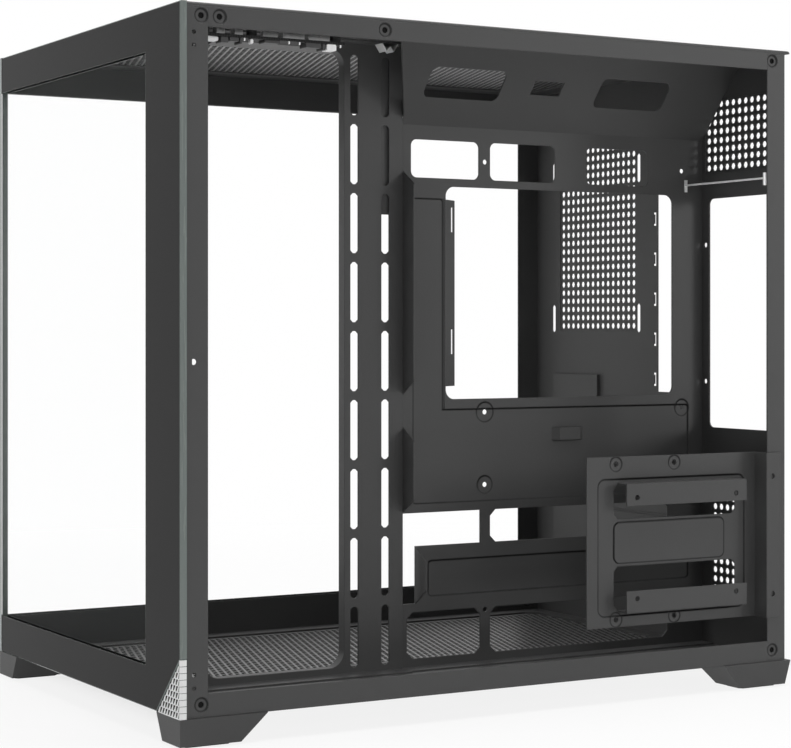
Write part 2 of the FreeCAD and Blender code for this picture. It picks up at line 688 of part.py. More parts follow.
def bracket_slots(sketch):
    half = (fan_slot_pitch - fan_slot_bridge) / 2
    for column in (fan_column_front, fan_column, fan_column_inner):
        bevelled(sketch, column - fan_slot_radius, column + fan_slot_radius,
                 fan_slot_first - half, fan_slot_first + half, fan_slot_radius * SLOT_BEVEL_SHARE)


slots = cut(side_fan_bracket, "YZ", bracket_x - 2 * steel, bracket_x + steel, bracket_slots)
repeat(side_fan_bracket, slots, "V_Axis", fan_slot_pitch, FAN_SLOTS)

# Rear wall: one sheet with folded posts, vents, the port, power supply and expansion openings
port_inner = tray_x - dim("port_opening_from_tray", 49.4)
port_width = dim("port_opening_width", 44.45)
port_height = dim("port_opening_height", 158.75)
port_low = top_row - dim("port_opening_drop", 148.5)
supply_left = tray_x + dim("supply_opening_from_tray", 7.6)
supply_right = x_rail - dim("supply_opening_from_edge", 3)
supply_high = z_ceiling - dim("supply_opening_drop", 87.5)
supply_low = supply_high - dim("supply_opening_height", 152.1)
supply_corner = dim("supply_opening_corner", 4)
fan_pitch = dim("fan_hole_pitch", 105)
fan_centre_x = (x_band + tray_x) / 2 - dim("rear_fan_offset", 24.2)
fan_centre_z = top_row - dim("rear_fan_drop", 45)
rear_slot_length = dim("rear_fan_slot_length", 20)
rear_slot_radius = dim("rear_fan_slot_radius", 2.15)
slot_first = board_rows[1] - dim("expansion_slot_drop", 4.5)
slot_pitch = dim("expansion_slot_pitch", 20.32)
slot_half = dim("expansion_slot_half_height", 6.5)
slot_left = tray_x - dim("expansion_slot_reach", 106)
slot_right = tray_x - dim("expansion_slot_from_tray", 14)
EXPANSION_SLOTS = 7
slot_last = slot_first - slot_pitch * (EXPANSION_SLOTS - 1)
VENT_GAP_SHARE = 0.35
fan_field_left = fan_centre_x - dim("rear_fan_field_left", 44)
fan_field_right = fan_centre_x + dim("rear_fan_field_right", 49)
fan_field_low = fan_centre_z - dim("rear_fan_field_low", 61)
fan_field_high = fan_centre_z + dim("rear_fan_field_high", 72)
supply_field_left = supply_left - dim("supply_vent_overhang", 4.2)
supply_field_low = supply_high + dim("supply_vent_rise", 17.5)
supply_field_high = z_ceiling - dim("supply_vent_drop", 22)
low_field_left = tray_x + dim("low_vent_from_tray", 10)
low_field_low = z_floor + dim("low_vent_edge", 35)
low_field_high = supply_low - dim("low_vent_drop", 37.4)
field_right = x_rail - dim("vent_field_from_edge", 10)
latch_place = port_inner - dim("latch_slot_setback", 3.6)
latch_first = port_low + dim("latch_slot_rise", 8.5)
latch_pitch = dim("latch_slot_pitch", 27.7)
latch_half = dim("latch_slot_half_height", 4.6)
latch_width = dim("latch_slot_width", 2)
latch_foot = dim("latch_slot_foot", 1.4)
LATCH_SLOTS = 5
cover_box_left = x_band + dim("expansion_screw_box_edge", 25.6)
cover_box_right = slot_left - dim("expansion_screw_box_setback", 12)
cover_box_low = slot_last - dim("expansion_screw_box_drop", 8)
cover_box_high = slot_first + dim("expansion_screw_box_rise", 24)
cover_box_depth = dim("expansion_screw_box_depth", 2.5)
rear_panel = new_body("rear_panel")
add(rear_panel, "XZ", y_wall, y_rear, lambda s: rectangle(s, x_band, x_rail, z_base, z_roof))
add(rear_panel, "XY", z_floor, z_ceiling, lambda s: rectangle(s, x_rail - steel, x_rail, y_post_rear, y_rear))
add(rear_panel, "XY", z_floor, z_ceiling, lambda s: rectangle(s, x_band, x_band + steel, y_left_end, y_rear))
add(rear_panel, "XZ", y_wall - cover_box_depth, y_wall, lambda s: rectangle(
    s, cover_box_left, cover_box_right, cover_box_low, cover_box_high))
cut(rear_panel, "XZ", y_wall - cover_box_depth + steel, y_rear, lambda s: rectangle(
    s, cover_box_left + steel, cover_box_right - steel, cover_box_low + steel, cover_box_high - steel))


supply_screw = supply_left - dim("supply_screw_setback", 4)
supply_screw_margin = dim("supply_screw_margin", 30.5)
supply_screw_heights = [supply_low + supply_screw_margin, supply_high - supply_screw_margin]


def rear_openings(sketch):
    for height in supply_screw_heights:
        circle(sketch, supply_screw, height, screw_hole)
    rectangle(sketch, port_inner, port_inner + port_width, port_low, port_low + port_height)
    rounded(sketch, supply_left, supply_right, supply_low, supply_high, supply_corner)
    half = rear_slot_length / 2
    for side in (-1, 1):
        for level in (-1, 1):
            across = fan_centre_x + fan_pitch * side / 2
            up = fan_centre_z + fan_pitch * level / 2
            bevelled(sketch, across - rear_slot_radius, across + rear_slot_radius, up - half, up + half,
                     rear_slot_radius * SLOT_BEVEL_SHARE)


def rear_fields(sketch):
    rectangle(sketch, fan_field_left, fan_field_right, fan_field_low, fan_field_high)
    rectangle(sketch, supply_field_left, field_right, supply_field_low, supply_field_high)
    rectangle(sketch, low_field_left, field_right, low_field_low, low_field_high)


def rear_cut(draw):
    """Cut right through the rear wall."""
    return cut(rear_panel, "XZ", y_wall - steel, y_rear + steel, draw)


rear_cut(rear_openings)
add(rear_panel, "XZ", y_rear, y_rear + press, rear_fields)
cut(rear_panel, "XZ", y_wall, y_wall + press, rear_fields)


def vent(left, right, low, high, columns, rows):
    """A grid of gaps that fills a field."""
    step_x = (right - left) / columns
    step_z = (high - low) / rows
    across, half_width = left + step_x / 2, step_x * VENT_GAP_SHARE
    up, half_height = low + step_z / 2, step_z * VENT_GAP_SHARE
    gap = rear_cut(lambda s: rectangle(
        s, across - half_width, across + half_width, up - half_height, up + half_height))
    repeat(rear_panel, gap, "H_Axis", step_x, columns, step_z, rows)


vent(fan_field_left, fan_field_right, fan_field_low, fan_field_high, 4, 6)
vent(supply_field_left, field_right, supply_field_low, supply_field_high, 3, 2)
vent(low_field_left, field_right, low_field_low, low_field_high, 3, 3)
expansion_gap = rear_cut(lambda s: rectangle(
    s, slot_left, slot_right, slot_first - slot_half, slot_first + slot_half))
repeat(rear_panel, expansion_gap, "V_Axis", slot_pitch, EXPANSION_SLOTS).Reversed = True
latch_low, latch_high = latch_first - latch_half, latch_first + latch_half
latch_gap = rear_cut(lambda s: polygon(s, [
    (latch_place - latch_foot, latch_low), (latch_place + latch_width, latch_low),
    (latch_place + latch_width, latch_high), (latch_place - latch_foot, latch_high),
    (latch_place - latch_foot, latch_high - latch_foot), (latch_place, latch_high - latch_foot),
    (latch_place, latch_low + latch_foot), (latch_place - latch_foot, latch_low + latch_foot)]))
repeat(rear_panel, latch_gap, "V_Axis", latch_pitch, LATCH_SLOTS)
expansion_screw_x = slot_left - dim("expansion_screw_setback", 5)
cover_screw = dim("cover_screw_radius", 1.5)
cover_screw_hole = cover_screw + dim("cover_screw_clearance", 0.1)
screw_head = dim("screw_head_radius", 3.2)
rear_cut(lambda s: rectangle(s, expansion_screw_x - cover_screw_hole, expansion_screw_x + cover_screw_hole,
                             slot_last - screw_head, slot_first + screw_head))

# Expansion slot covers on the rear wall's inner face, each notched for the one screw that holds it
cover_half = dim("expansion_cover_half_height", 9.2)
cover_left = slot_left - dim("expansion_cover_tail", 10)
cover_right = slot_right + dim("expansion_cover_lap", 4)
notch_end = expansion_screw_x + cover_screw_hole
expansion_covers = []
for number in range(EXPANSION_SLOTS):
    middle = slot_first - slot_pitch * number
    blank = new_body(f"expansion_cover_{number + 1}")
    add(blank, "XZ", y_wall - steel, y_wall, lambda s: polygon(s, [
        (cover_left, middle - cover_half), (cover_right, middle - cover_half),
        (cover_right, middle + cover_half), (cover_left, middle + cover_half),
        (cover_left, middle + cover_screw_hole),
        (notch_end, middle + cover_screw_hole), (notch_end, middle - cover_screw_hole),
        (cover_left, middle - cover_screw_hole)]))
    expansion_covers.append(blank)

# Bright brace across the power supply bay, between the wall and the rear post
brace_height = supply_high + dim("brace_rise", 8.5)
brace_depth = dim("brace_depth", 2)
brace_tab = dim("brace_tab", 8)
brace_front = y_post_rear - dim("brace_setback", 2)
supply_brace = new_body("supply_brace")
add(supply_brace, "XZ", brace_front, brace_front + brace_depth, lambda s: polygon(s, [
    (tray_x, brace_height - brace_tab / 2), (tray_x + steel, brace_height - brace_tab / 2),
    (tray_x + steel, brace_height), (x_rail - 2 * steel, brace_height),
    (x_rail - 2 * steel, brace_height - brace_tab / 2), (x_rail - steel, brace_height - brace_tab / 2),
    (x_rail - steel, brace_height + brace_tab / 2), (x_rail - 2 * steel, brace_height + brace_tab / 2),
    (x_rail - 2 * steel, brace_height + steel), (tray_x + steel, brace_height + steel),
    (tray_x + steel, brace_height + brace_tab / 2), (tray_x, brace_height + brace_tab / 2)]))

# Drive bracket: a plate on a folded tab over the rear post, with two ledges for small drives
drive_inset = dim("drive_plate_inset", 12)
drive_x = x_right - drive_inset
drive_front = y_post_rear - dim("drive_plate_length", 131.4)
drive_low = z_base + dim("drive_plate_low", 28)
drive_high = z_base + dim("drive_plate_high", 132.5)
drive_wall = y_post_rear - steel - fit_gap
drive_tab_end = y_rear - dim("drive_tab_from_rear", 4)
drive_corner = dim("drive_window_corner", 3)
window_front = drive_front + dim("drive_window_edge", 20.4)
window_rear = window_front + dim("drive_window_length", 94)
upper_window_low = z_base + dim("drive_upper_window_low", 94.1)
upper_window_high = z_base + dim("drive_upper_window_high", 115.3)
lower_window_low = z_base + dim("drive_lower_window_low", 38.3)
lower_window_high = z_base + dim("drive_lower_window_high", 65.1)
drive_panel_edge = dim("drive_panel_edge", 8.4)
drive_recess_margin = dim("drive_recess_margin", 3.4)
ledge_reach = dim("drive_ledge_reach", 9)
ledge_height = dim("drive_ledge_height", 12.5)
ledge_front = window_front + dim("drive_ledge_setback", 3)
ledge_rear = ledge_front + dim("drive_ledge_length", 93)
small_drive_length = dim("small_drive_hole_length", 76.6)
small_drive_height = dim("small_drive_hole_height", 61.72)
small_drive_front = ledge_front + dim("small_drive_hole_edge", 8)
large_drive_length = dim("large_drive_hole_length", 44.45)
large_drive_height = dim("large_drive_hole_height", 95.25)
large_drive_front = drive_front + dim("large_drive_hole_edge", 21.7)
drive_middle = (drive_low + drive_high) / 2
small_drive_middle = (upper_window_high + lower_window_low) / 2
drive_bracket = new_body("drive_bracket")
add(drive_bracket, "XY", drive_low, drive_high, lambda s: polygon(s, [
    (drive_x - steel, drive_front), (drive_x, drive_front), (drive_x, drive_wall), (x_right, drive_wall),
    (x_right, drive_tab_end), (x_rail, drive_tab_end), (x_rail, drive_wall + steel),
    (drive_x - steel, drive_wall + steel)]))
drive_field = dim("drive_field_edge", 2)
drive_field_rear = window_rear - dim("drive_field_setback", 9)


def drive_recess(sketch):
    bevelled(sketch, drive_front + drive_panel_edge, drive_wall - drive_panel_edge,
             lower_window_low - drive_recess_margin, upper_window_high + drive_recess_margin, drive_corner)
    bevelled(sketch, window_front, drive_field_rear, lower_window_high + drive_field,
             upper_window_low - drive_field, drive_corner)


cut(drive_bracket, "YZ", drive_x - press, drive_x, drive_recess)


def drive_windows(sketch):
    bevelled(sketch, window_front, window_rear, upper_window_low, upper_window_high, drive_corner)
    bevelled(sketch, window_front, window_rear, lower_window_low, lower_window_high, drive_corner)
    for level in (-1, 1):
        for place in (large_drive_front, large_drive_front + large_drive_length):
            circle(sketch, place, drive_middle + large_drive_height * level / 2, screw_hole)


cut(drive_bracket, "YZ", drive_x - 2 * steel, drive_x + steel, drive_windows)


def drive_ledge(edge, sense):
    """A ledge folded out at a window's edge and then turned along the plate."""
    outer = edge + steel * sense
    end = edge - ledge_height * sense
    add(drive_bracket, "XZ", ledge_front, ledge_rear, lambda s: polygon(s, [
        (drive_x - steel, edge), (drive_x - steel, outer), (drive_x + ledge_reach, outer),
        (drive_x + ledge_reach, end), (drive_x + ledge_reach - steel, end),
        (drive_x + ledge_reach - steel, edge)]))


drive_ledge(upper_window_high, 1)
drive_ledge(lower_window_low, -1)


def small_drive_holes(sketch):
    for level in (-1, 1):
        for place in (small_drive_front, small_drive_front + small_drive_length):
            circle(sketch, place, small_drive_middle + small_drive_height * level / 2, screw_hole)


cut(drive_bracket, "YZ", drive_x + ledge_reach - 2 * steel, drive_x + ledge_reach + steel, small_drive_holes)
tab_hole = drive_tab_end - dim("drive_tab_hole", 6.5)
tab_hole_edge = dim("drive_tab_hole_edge", 15)


def tab_holes(sketch):
    circle(sketch, tab_hole, drive_low + tab_hole_edge, screw_hole)
    circle(sketch, tab_hole, drive_high - tab_hole_edge, screw_hole)


cut(drive_bracket, "YZ", x_rail - steel / 2, x_right + steel, tab_holes)
dimpled_holes(rear_panel, [(dimple_rear, z_top - dimple_edge), (dimple_rear, z_base + dimple_edge)])

# Feet: each tapers from the case's corner towards its rubber pad
foot_width = dim("foot_width", 32)
foot_sole_width = dim("foot_sole_width", 24)
foot_length = dim("foot_length", 53)
foot_sole_length = dim("foot_sole_length", 36.5)
foot_tail = dim("rear_foot_tail", 4.5)
pad_height = dim("pad_height", 1.2)
pad_margin = dim("pad_margin", 4)


def foot(label, side, end):
    """A foot in one corner: its side outline carried across, then cut back on its inner side, and its pad."""
    outer = x_right * side
    inner = outer - foot_width * side
    inner_sole = outer - foot_sole_width * side
    tip = y_front if end < 0 else y_back
    sole_tip = y_front if end < 0 else y_back - foot_tail
    heel = tip - foot_length * end
    sole_heel = sole_tip - foot_sole_length * end
    body = new_body(f"foot_{label}")
    add(body, "YZ", *ordered(outer, inner), lambda s: polygon(s, [
        (sole_tip, pad_height), (sole_heel, pad_height), (heel, foot_height), (tip, foot_height)]))
    cut(body, "XZ", *ordered(tip, heel), lambda s: polygon(s, [
        (inner, foot_height), (inner_sole, pad_height), (inner, pad_height)]))
    pad = new_body(f"foot_pad_{label}")
    inset = pad_margin * side
    add(pad, "XY", as_size(0), pad_height, lambda s: bevelled(
        s, *ordered(outer - inset, inner_sole + inset),
        *ordered(sole_tip - pad_margin * end, sole_heel + pad_margin * end), pad_margin / 2))


def ordered(first, second):
    """Two places with the lower one first."""
    return (first, second) if first.number < second.number else (second, first)


for end_name, end in (("front", -1), ("rear", 1)):
    for side_name, side in (("left", -1), ("right", 1)):
        foot(f"{end_name}_{side_name}", side, end)

# Front panel strip: bezel, circuit board, sockets and two buttons
board_drop = dim("io_board_drop", 14.5)
board_sheet = dim("io_board_sheet", 1.6)
boss_half = dim("io_boss_half_width", 2.5)
boss_inset = dim("io_boss_inset", 3)
button_gap = dim("button_gap", 0.3)
power_radius = dim("power_button_radius", 6)
reset_radius = dim("reset_button_radius", 2.5)
power_place = strip_front + dim("power_button_place", 14.5)
reset_place = power_place + dim("reset_button_place", 11)
audio_place = reset_place + dim("audio_jack_place", 9)
audio_radius = dim("audio_jack_radius", 3)
audio_bore = dim("audio_jack_bore", 1.8)
type_c_place = audio_place + dim("type_c_place", 11)
type_c_half_width = dim("type_c_half_width", 1.6)
type_c_half_length = dim("type_c_half_length", 4.5)
type_a_first = type_c_place + dim("type_a_place", 14)
type_a_places = [type_a_first, type_a_first + dim("type_a_pitch", 16)]
type_a_half_width = dim("type_a_half_width", 3)
type_a_half_length = dim("type_a_half_length", 6.7)
shell_wall = dim("socket_shell_wall", 0.4)
socket_depth = dim("socket_depth", 9)
button_travel = dim("button_travel", 1.2)
switch_height = dim("switch_height", 5)
boss_places = (strip_front + strip_seat + boss_inset, strip_rear - strip_seat - boss_inset)
z_board = z_roof - board_drop
io_bezel = new_body("io_bezel")
add(io_bezel, "XY", z_roof, z_top, lambda s: rounded(
    s, strip_left + fit_gap, strip_right - fit_gap,
    strip_front + fit_gap, strip_rear - fit_gap, strip_corner))


def socket_hole(sketch, place, half_width, half_length):
    """A rectangle in the middle of the strip."""
    rectangle(sketch, strip_middle - half_width, strip_middle + half_width,
              place - half_length, place + half_length)


def bezel_openings(sketch):
    circle(sketch, strip_middle, power_place, power_radius + button_gap)
    circle(sketch, strip_middle, reset_place, reset_radius + button_gap)
    circle(sketch, strip_middle, audio_place, audio_radius + button_gap)
    socket_hole(sketch, type_c_place, type_c_half_width + button_gap, type_c_half_length + button_gap)
    for place in type_a_places:
        socket_hole(sketch, place, type_a_half_width + button_gap, type_a_half_length + button_gap)


def bosses(sketch):
    for place in boss_places:
        socket_hole(sketch, place, boss_half, boss_half)


cut(io_bezel, "XY", z_roof - steel, z_top + steel, bezel_openings)
add(io_bezel, "XY", z_board + board_sheet, z_roof, bosses)

io_board = new_body("io_board")
add(io_board, "XY", z_board, z_board + board_sheet, lambda s: rectangle(
    s, strip_left + strip_seat, strip_right - strip_seat, strip_front + strip_seat, strip_rear - strip_seat))


def socket(label, place, half_width, half_length):
    """A metal socket shell that stands on the board, open at the top."""
    body = new_body(label)
    add(body, "XY", z_board + board_sheet, z_top - fit_gap, lambda s: socket_hole(
        s, place, half_width, half_length))
    cut(body, "XY", z_top - fit_gap - socket_depth, z_top, lambda s: socket_hole(
        s, place, half_width - shell_wall, half_length - shell_wall))


for number, place in enumerate(type_a_places):
    socket(f"usb_a_port_{number + 1}", place, type_a_half_width, type_a_half_length)
socket("usb_c_port", type_c_place, type_c_half_width, type_c_half_length)
audio_jack = new_body("audio_jack")
add(audio_jack, "XY", z_board + board_sheet, z_top - fit_gap, lambda s: circle(
    s, strip_middle, audio_place, audio_radius))
cut(audio_jack, "XY", z_top - fit_gap - socket_depth, z_top, lambda s: circle(
    s, strip_middle, audio_place, audio_bore))


def button(label, place, radius):
    """A button cap in the bezel, with the switch that it presses on the board below."""
    body = new_body(f"{label}_button")
    z_switch = z_board + board_sheet + switch_height
    add(body, "XY", z_switch + button_travel + button_gap, z_top, lambda s: circle(
        s, strip_middle, place, radius))
    switch = new_body(f"{label}_switch")
    add(switch, "XY", z_board + board_sheet, z_switch, lambda s: socket_hole(
        s, place, reset_radius, reset_radius))


button("power", power_place, power_radius)
button("reset", reset_place, reset_radius)

# Screws of the expansion covers: six-sided heads on short shanks, kept together in one group
HEAD_SIDES = 6
SHANK_SIDES = 8
screw_head_height = dim("screw_head_height", 1.8)
facing_front = FreeCAD.Rotation(FreeCAD.Vector(0, 0, 1), FreeCAD.Vector(0, -1, 0))


def prism(name, sides, radius, length, place):
    """A prism that runs towards the front from its place, with sizes that follow the sheet."""
    solid = document.addObject("Part::Prism", name)
    solid.Polygon = sides
    for key, value in (("Circumradius", radius), ("Height", length)):
        setattr(solid, key, value.number)
        solid.setExpression(key, value.text)
    solid.Placement = FreeCAD.Placement(FreeCAD.Vector(*[part.number for part in place]), facing_front)
    for letter, part in zip("xyz", place):
        solid.setExpression(f"Placement.Base.{letter}", part.text)
    return solid


screws = []
for number in range(EXPANSION_SLOTS):
    height = slot_first - slot_pitch * number
    screw = document.addObject("Part::Fuse", "Screw")
    screw.Base = prism("Head", HEAD_SIDES, screw_head, screw_head_height,
                       (expansion_screw_x, y_rear + screw_head_height, height))
    screw.Tool = prism("Shank", SHANK_SIDES, cover_screw, 3 * steel, (expansion_screw_x, y_rear, height))
    screws.append(screw)
expansion_screws = document.addObject("Part::Compound", "expansion_screws")
expansion_screws.Label = "expansion_screws"
expansion_screws.Links = screws

document.recompute()

# Every feature has to be sound before a file is written
for item in document.Objects:
    if "Invalid" in item.State or "Error" in item.State:
        raise RuntimeError(f"{item.Name} ({item.Label}) failed: {item.State}")
pieces = [item for item in document.Objects if item.TypeId == "PartDesign::Body"] + [expansion_screws]
for piece in pieces:
    if piece.Shape.isNull() or not piece.Shape.isValid():
        raise RuntimeError(f"{piece.Label} has no valid shape")

os.makedirs("parts", exist_ok=True)
for piece in pieces:
    piece.Shape.exportStep(f"parts/{piece.Label}.step")
    print(piece.Label, len(piece.Shape.Solids), round(piece.Shape.Volume, 1))
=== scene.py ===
# %% [markdown]
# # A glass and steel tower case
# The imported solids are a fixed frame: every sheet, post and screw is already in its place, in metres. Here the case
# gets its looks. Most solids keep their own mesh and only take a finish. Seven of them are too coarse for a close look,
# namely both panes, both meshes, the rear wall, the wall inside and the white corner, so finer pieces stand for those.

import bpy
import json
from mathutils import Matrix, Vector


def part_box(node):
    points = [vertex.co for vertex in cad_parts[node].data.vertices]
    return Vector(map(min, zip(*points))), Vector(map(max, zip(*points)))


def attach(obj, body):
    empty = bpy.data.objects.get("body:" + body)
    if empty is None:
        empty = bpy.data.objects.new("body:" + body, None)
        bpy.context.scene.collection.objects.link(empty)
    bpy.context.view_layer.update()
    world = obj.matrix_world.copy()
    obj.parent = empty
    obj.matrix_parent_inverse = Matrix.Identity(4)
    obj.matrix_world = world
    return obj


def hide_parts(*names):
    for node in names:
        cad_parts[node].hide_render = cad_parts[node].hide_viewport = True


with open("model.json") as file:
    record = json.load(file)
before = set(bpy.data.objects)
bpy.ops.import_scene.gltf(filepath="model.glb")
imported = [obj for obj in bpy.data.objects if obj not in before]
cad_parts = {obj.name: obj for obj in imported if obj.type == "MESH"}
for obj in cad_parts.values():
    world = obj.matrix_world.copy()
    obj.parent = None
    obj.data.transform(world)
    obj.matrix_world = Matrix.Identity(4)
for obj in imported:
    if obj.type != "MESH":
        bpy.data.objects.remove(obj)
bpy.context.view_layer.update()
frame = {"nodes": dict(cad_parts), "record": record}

import json
import math

import bpy
import numpy as np
from mathutils import Vector

MM = 0.001

# %% [markdown]
# ## Writing finishes as sums
# A finish is a small sum: some grain, some cloudiness, a mask or two. Wiring that up node by node is hard to read, so
# one class wraps a shader socket. Its operators add Math nodes, `mix` blends two colours, and `node` makes any other
# node: its settings are set first, then each of its sockets gets a value or a link.


# %% A socket that can be added and multiplied
class Socket:
    """One shader socket in an expression: each operator adds one Math node to the same tree."""

    def __init__(self, tree, socket=None):
        self.tree, self.socket = tree, socket

    def node(self, kind, settings=None, inputs=None, output=0):
        made = self.tree.nodes.new("ShaderNode" + kind)
        for name, value in (settings or {}).items():
            setattr(made, name, value)
        for name, value in (inputs or {}).items():
            if isinstance(value, Socket):
                self.tree.links.new(value.socket, made.inputs[name])
            else:
                made.inputs[name].default_value = value
        return Socket(self.tree, made.outputs[output]) if len(made.outputs) else made

    def math(self, operation, first, second):
        return self.node("Math", {"operation": operation}, {0: first, 1: second})

    def __add__(self, other):
        return self.math("ADD", self, other)

    def __sub__(self, other):
        return self.math("SUBTRACT", self, other)

    def __rsub__(self, other):
        return self.math("SUBTRACT", other, self)

    def __mul__(self, other):
        return self.math("MULTIPLY", self, other)

    __radd__ = __add__
    __rmul__ = __mul__

    def larger(self, other):
        return self.math("MAXIMUM", self, other)

    def smaller(self, other):
        return self.math("MINIMUM", self, other)

    def mix(self, low, high):
        """The colour low where this is 0, and high where it is 1."""
        return self.node("Mix", {"data_type": "RGBA"}, {0: self, 6: low, 7: high}, 2)

    def rise(self, low, high):
        """0 up to low, 1 from high on, and a smooth step between."""
        return self.node("MapRange", {"interpolation_type": "SMOOTHSTEP"}, {0: self, 1: low, 2: high})

    def axis(self, name):
        return self.node("SeparateXYZ", None, {0: self}, name)

    def noise(self, scale, detail=2.0):
        return self.node("TexNoise", None, {"Vector": self, "Scale": scale, "Detail": detail})

    def stretched(self, scale):
        return self.node("Mapping", None, {"Vector": self, "Scale": scale})

    def vector(self, operation, other=(0.0, 0.0, 0.0)):
        """A vector worked out from this one and another, which is zero unless it is given."""
        return self.node("VectorMath", {"operation": operation}, {0: self, 1: other})

    def length(self):
        return self.node("VectorMath", {"operation": "LENGTH"}, {0: self}, "Value")

    def bump(self, normal=None):
        """A height in metres, turned into a normal on top of another normal."""
        above = {"Normal": normal} if normal else {}
        return self.node("Bump", None, {"Height": self, "Strength": 1.0, "Distance": 1.0, **above})


def finish(name, paint, fixed):
    """A material with one Principled shader: paint gives the sockets that vary, fixed those that don't."""
    material = bpy.data.materials.new(name)
    material.use_nodes = True
    tree = material.node_tree
    tree.nodes.clear()
    start = Socket(tree)
    place = start.node("TexCoord", None, None, "Object")
    shader = start.node("BsdfPrincipled", None, {**fixed, **paint(place)})
    start.node("OutputMaterial", None, {"Surface": shader})
    return material


def grey(level, warm=0.0):
    """A nearly neutral colour, a little warmer or cooler."""
    return (level * (1 + warm), level, level * (1 - warm), 1.0)


print("socket and finish are ready")

# %% [markdown]
# ## Black powder coat
# The sheet metal is sprayed with dry powder and baked. That leaves a matt black with a fine orange peel of about a
# millimetre, and very slight clouds where the coat is thicker. Two noises do it: a fine one for the peel, which
# drives the bump and the roughness, and a broad one for the clouds, which only shifts the colour. Bent sheet has no
# knife edges either, so a Bevel node rounds the normals near each edge, and the edges catch a thin line of light.
#
# The stamped fields and the dimples round the screw holes are pressed, so their borders are soft slopes. The foot of
# each slope is painted dark as painted shade, and the rails' screw holes are painted dark all over, also as painted
# shade. A rounded box has a short distance formula, and that distance gives both the slope and the painted shade.


# %% Powder coat on the sheets, with stamped fields
SLOPE, FIELD_DEPTH = 0.9 * MM, 0.7 * MM
PEEL_DEPTH, EDGE_ROUNDING = 0.05 * MM, 0.7 * MM
PEEL_SCALE, CLOUD_SCALE, PEEL_ROUGHNESS = 1300.0, 7.0, 0.18
# How strong and how dark the painted shade is at the foot of each slope and in the screw holes.
CREASE_SHADE_SHARE, CREASE_SHADE_TONE = 0.95, 0.003


def stamped(fields, holes=()):
    """A field is a list of boxes (front, rear, low, high, corner) in mm; where boxes overlap, their outline is joined.
    Distance: how far a point lies outside the box less its corner radius, as a length, minus that radius.
    Holes get painted shade all over instead of along their outline."""
    def distance(flat, boxes):
        gap = None
        for front, rear, low, high, corner in np.array(boxes) * MM:
            core = (0.0, (rear - front) / 2 - corner, (high - low) / 2 - corner)
            beyond = flat.vector("SUBTRACT", (0.0, (front + rear) / 2, (low + high) / 2)).vector("ABSOLUTE")
            one = beyond.vector("SUBTRACT", core).vector("MAXIMUM").length() - corner
            gap = one if gap is None else gap.smaller(one)
        return gap

    def slopes_and_crease_shade(place):
        flat = place.vector("MULTIPLY", (0.0, 1.0, 1.0))
        line = height = None
        for boxes in fields:
            gap = distance(flat, boxes)
            outside = gap.rise(-SLOPE, SLOPE)
            # Painted shade: a dark band at the foot of each slope.
            crease_shade = gap.rise(-SLOPE, 0.0) - gap.rise(0.0, SLOPE)
            line = crease_shade if line is None else line.larger(crease_shade)
            height = outside if height is None else height + outside
        for boxes in holes:
            # Painted shade: the screw holes are dark all over.
            line = line.larger(1.0 - distance(flat, boxes).rise(-SLOPE / 3, SLOPE / 3))
        return line, height * FIELD_DEPTH
    return slopes_and_crease_shade


def powder_coat(dark, light, rough, slopes_and_crease_shade=None):
    def paint(place):
        peel = place.noise(PEEL_SCALE)
        cloud = place.noise(CLOUD_SCALE, 3.0)
        tone = (cloud * 0.6 + peel * 0.4).mix(grey(dark), grey(light))
        height = peel * PEEL_DEPTH
        if slopes_and_crease_shade:
            line, slope = slopes_and_crease_shade(place)
            # Painted shade: the coat's colour goes nearly black at the foot of each slope and in the screw holes.
            tone = (line * CREASE_SHADE_SHARE).mix(tone, grey(CREASE_SHADE_TONE))
            height = height + slope
        soft_edge = place.node("Bevel", {"samples": 4}, {"Radius": EDGE_ROUNDING})
        return {"Base Color": tone, "Roughness": rough + peel * PEEL_ROUGHNESS, "Normal": height.bump(soft_edge)}
    return paint


def ring(across, up, radius):
    """A dimple round a screw hole: a box that is all corner."""
    return [(across - radius, across + radius, up - radius, up + radius, radius)]


STEEL = (0.053, 0.070, 0.40)  # darkest and lightest grey, then roughness
SHEET_GLOSS = {"Specular IOR Level": 0.28}
DIMPLE_RADIUS, SCREW_HOLE_RADIUS, DRIVE_DIMPLE_RADIUS = 3.6, 1.7, 4.4
black_steel = finish("black_steel", powder_coat(*STEEL), SHEET_GLOSS)
DIMPLES = [(-199.0, 396.8), (-199.0, 23.2), (-188.0, 396.8), (-84.4, 396.8), (198.0, 396.8), (198.0, 23.2)]
rail_steel = finish("rail_steel", powder_coat(*STEEL, stamped(
    [ring(*dimple, DIMPLE_RADIUS) for dimple in DIMPLES],
    [ring(*dimple, SCREW_HOLE_RADIUS) for dimple in DIMPLES])), SHEET_GLOSS)
wall_steel = finish("wall_steel", powder_coat(*STEEL, stamped([
    [(-17.4, 195.0, 118.7, 176.5, 2.0), (-17.4, 4.0, 118.7, 307.6, 2.0)], [(-6.5, 195.0, 61.1, 83.0, 2.5)],
    ring(35.06, 174.5, 6.2), ring(35.06, 128.8, 5.5), ring(190.0, 174.5, 5.5)])), SHEET_GLOSS)
drive_steel = finish("drive_steel", powder_coat(*STEEL, stamped([
    [(71.0, 184.2, 50.9, 134.7, 5.0)], [(83.0, 168.0, 83.1, 108.1, 4.0)],
    *[ring(place, level, DRIVE_DIMPLE_RADIUS) for place in (84.3, 128.75) for level in (143.9, 48.6)]])), SHEET_GLOSS)
# Painted light: the black mesh strands are coloured lighter than the sheet steel, so they look like thin wires catching
# the light.
black_mesh = finish("black_mesh", powder_coat(0.12, 0.16, 0.30), {"Specular IOR Level": 0.5})
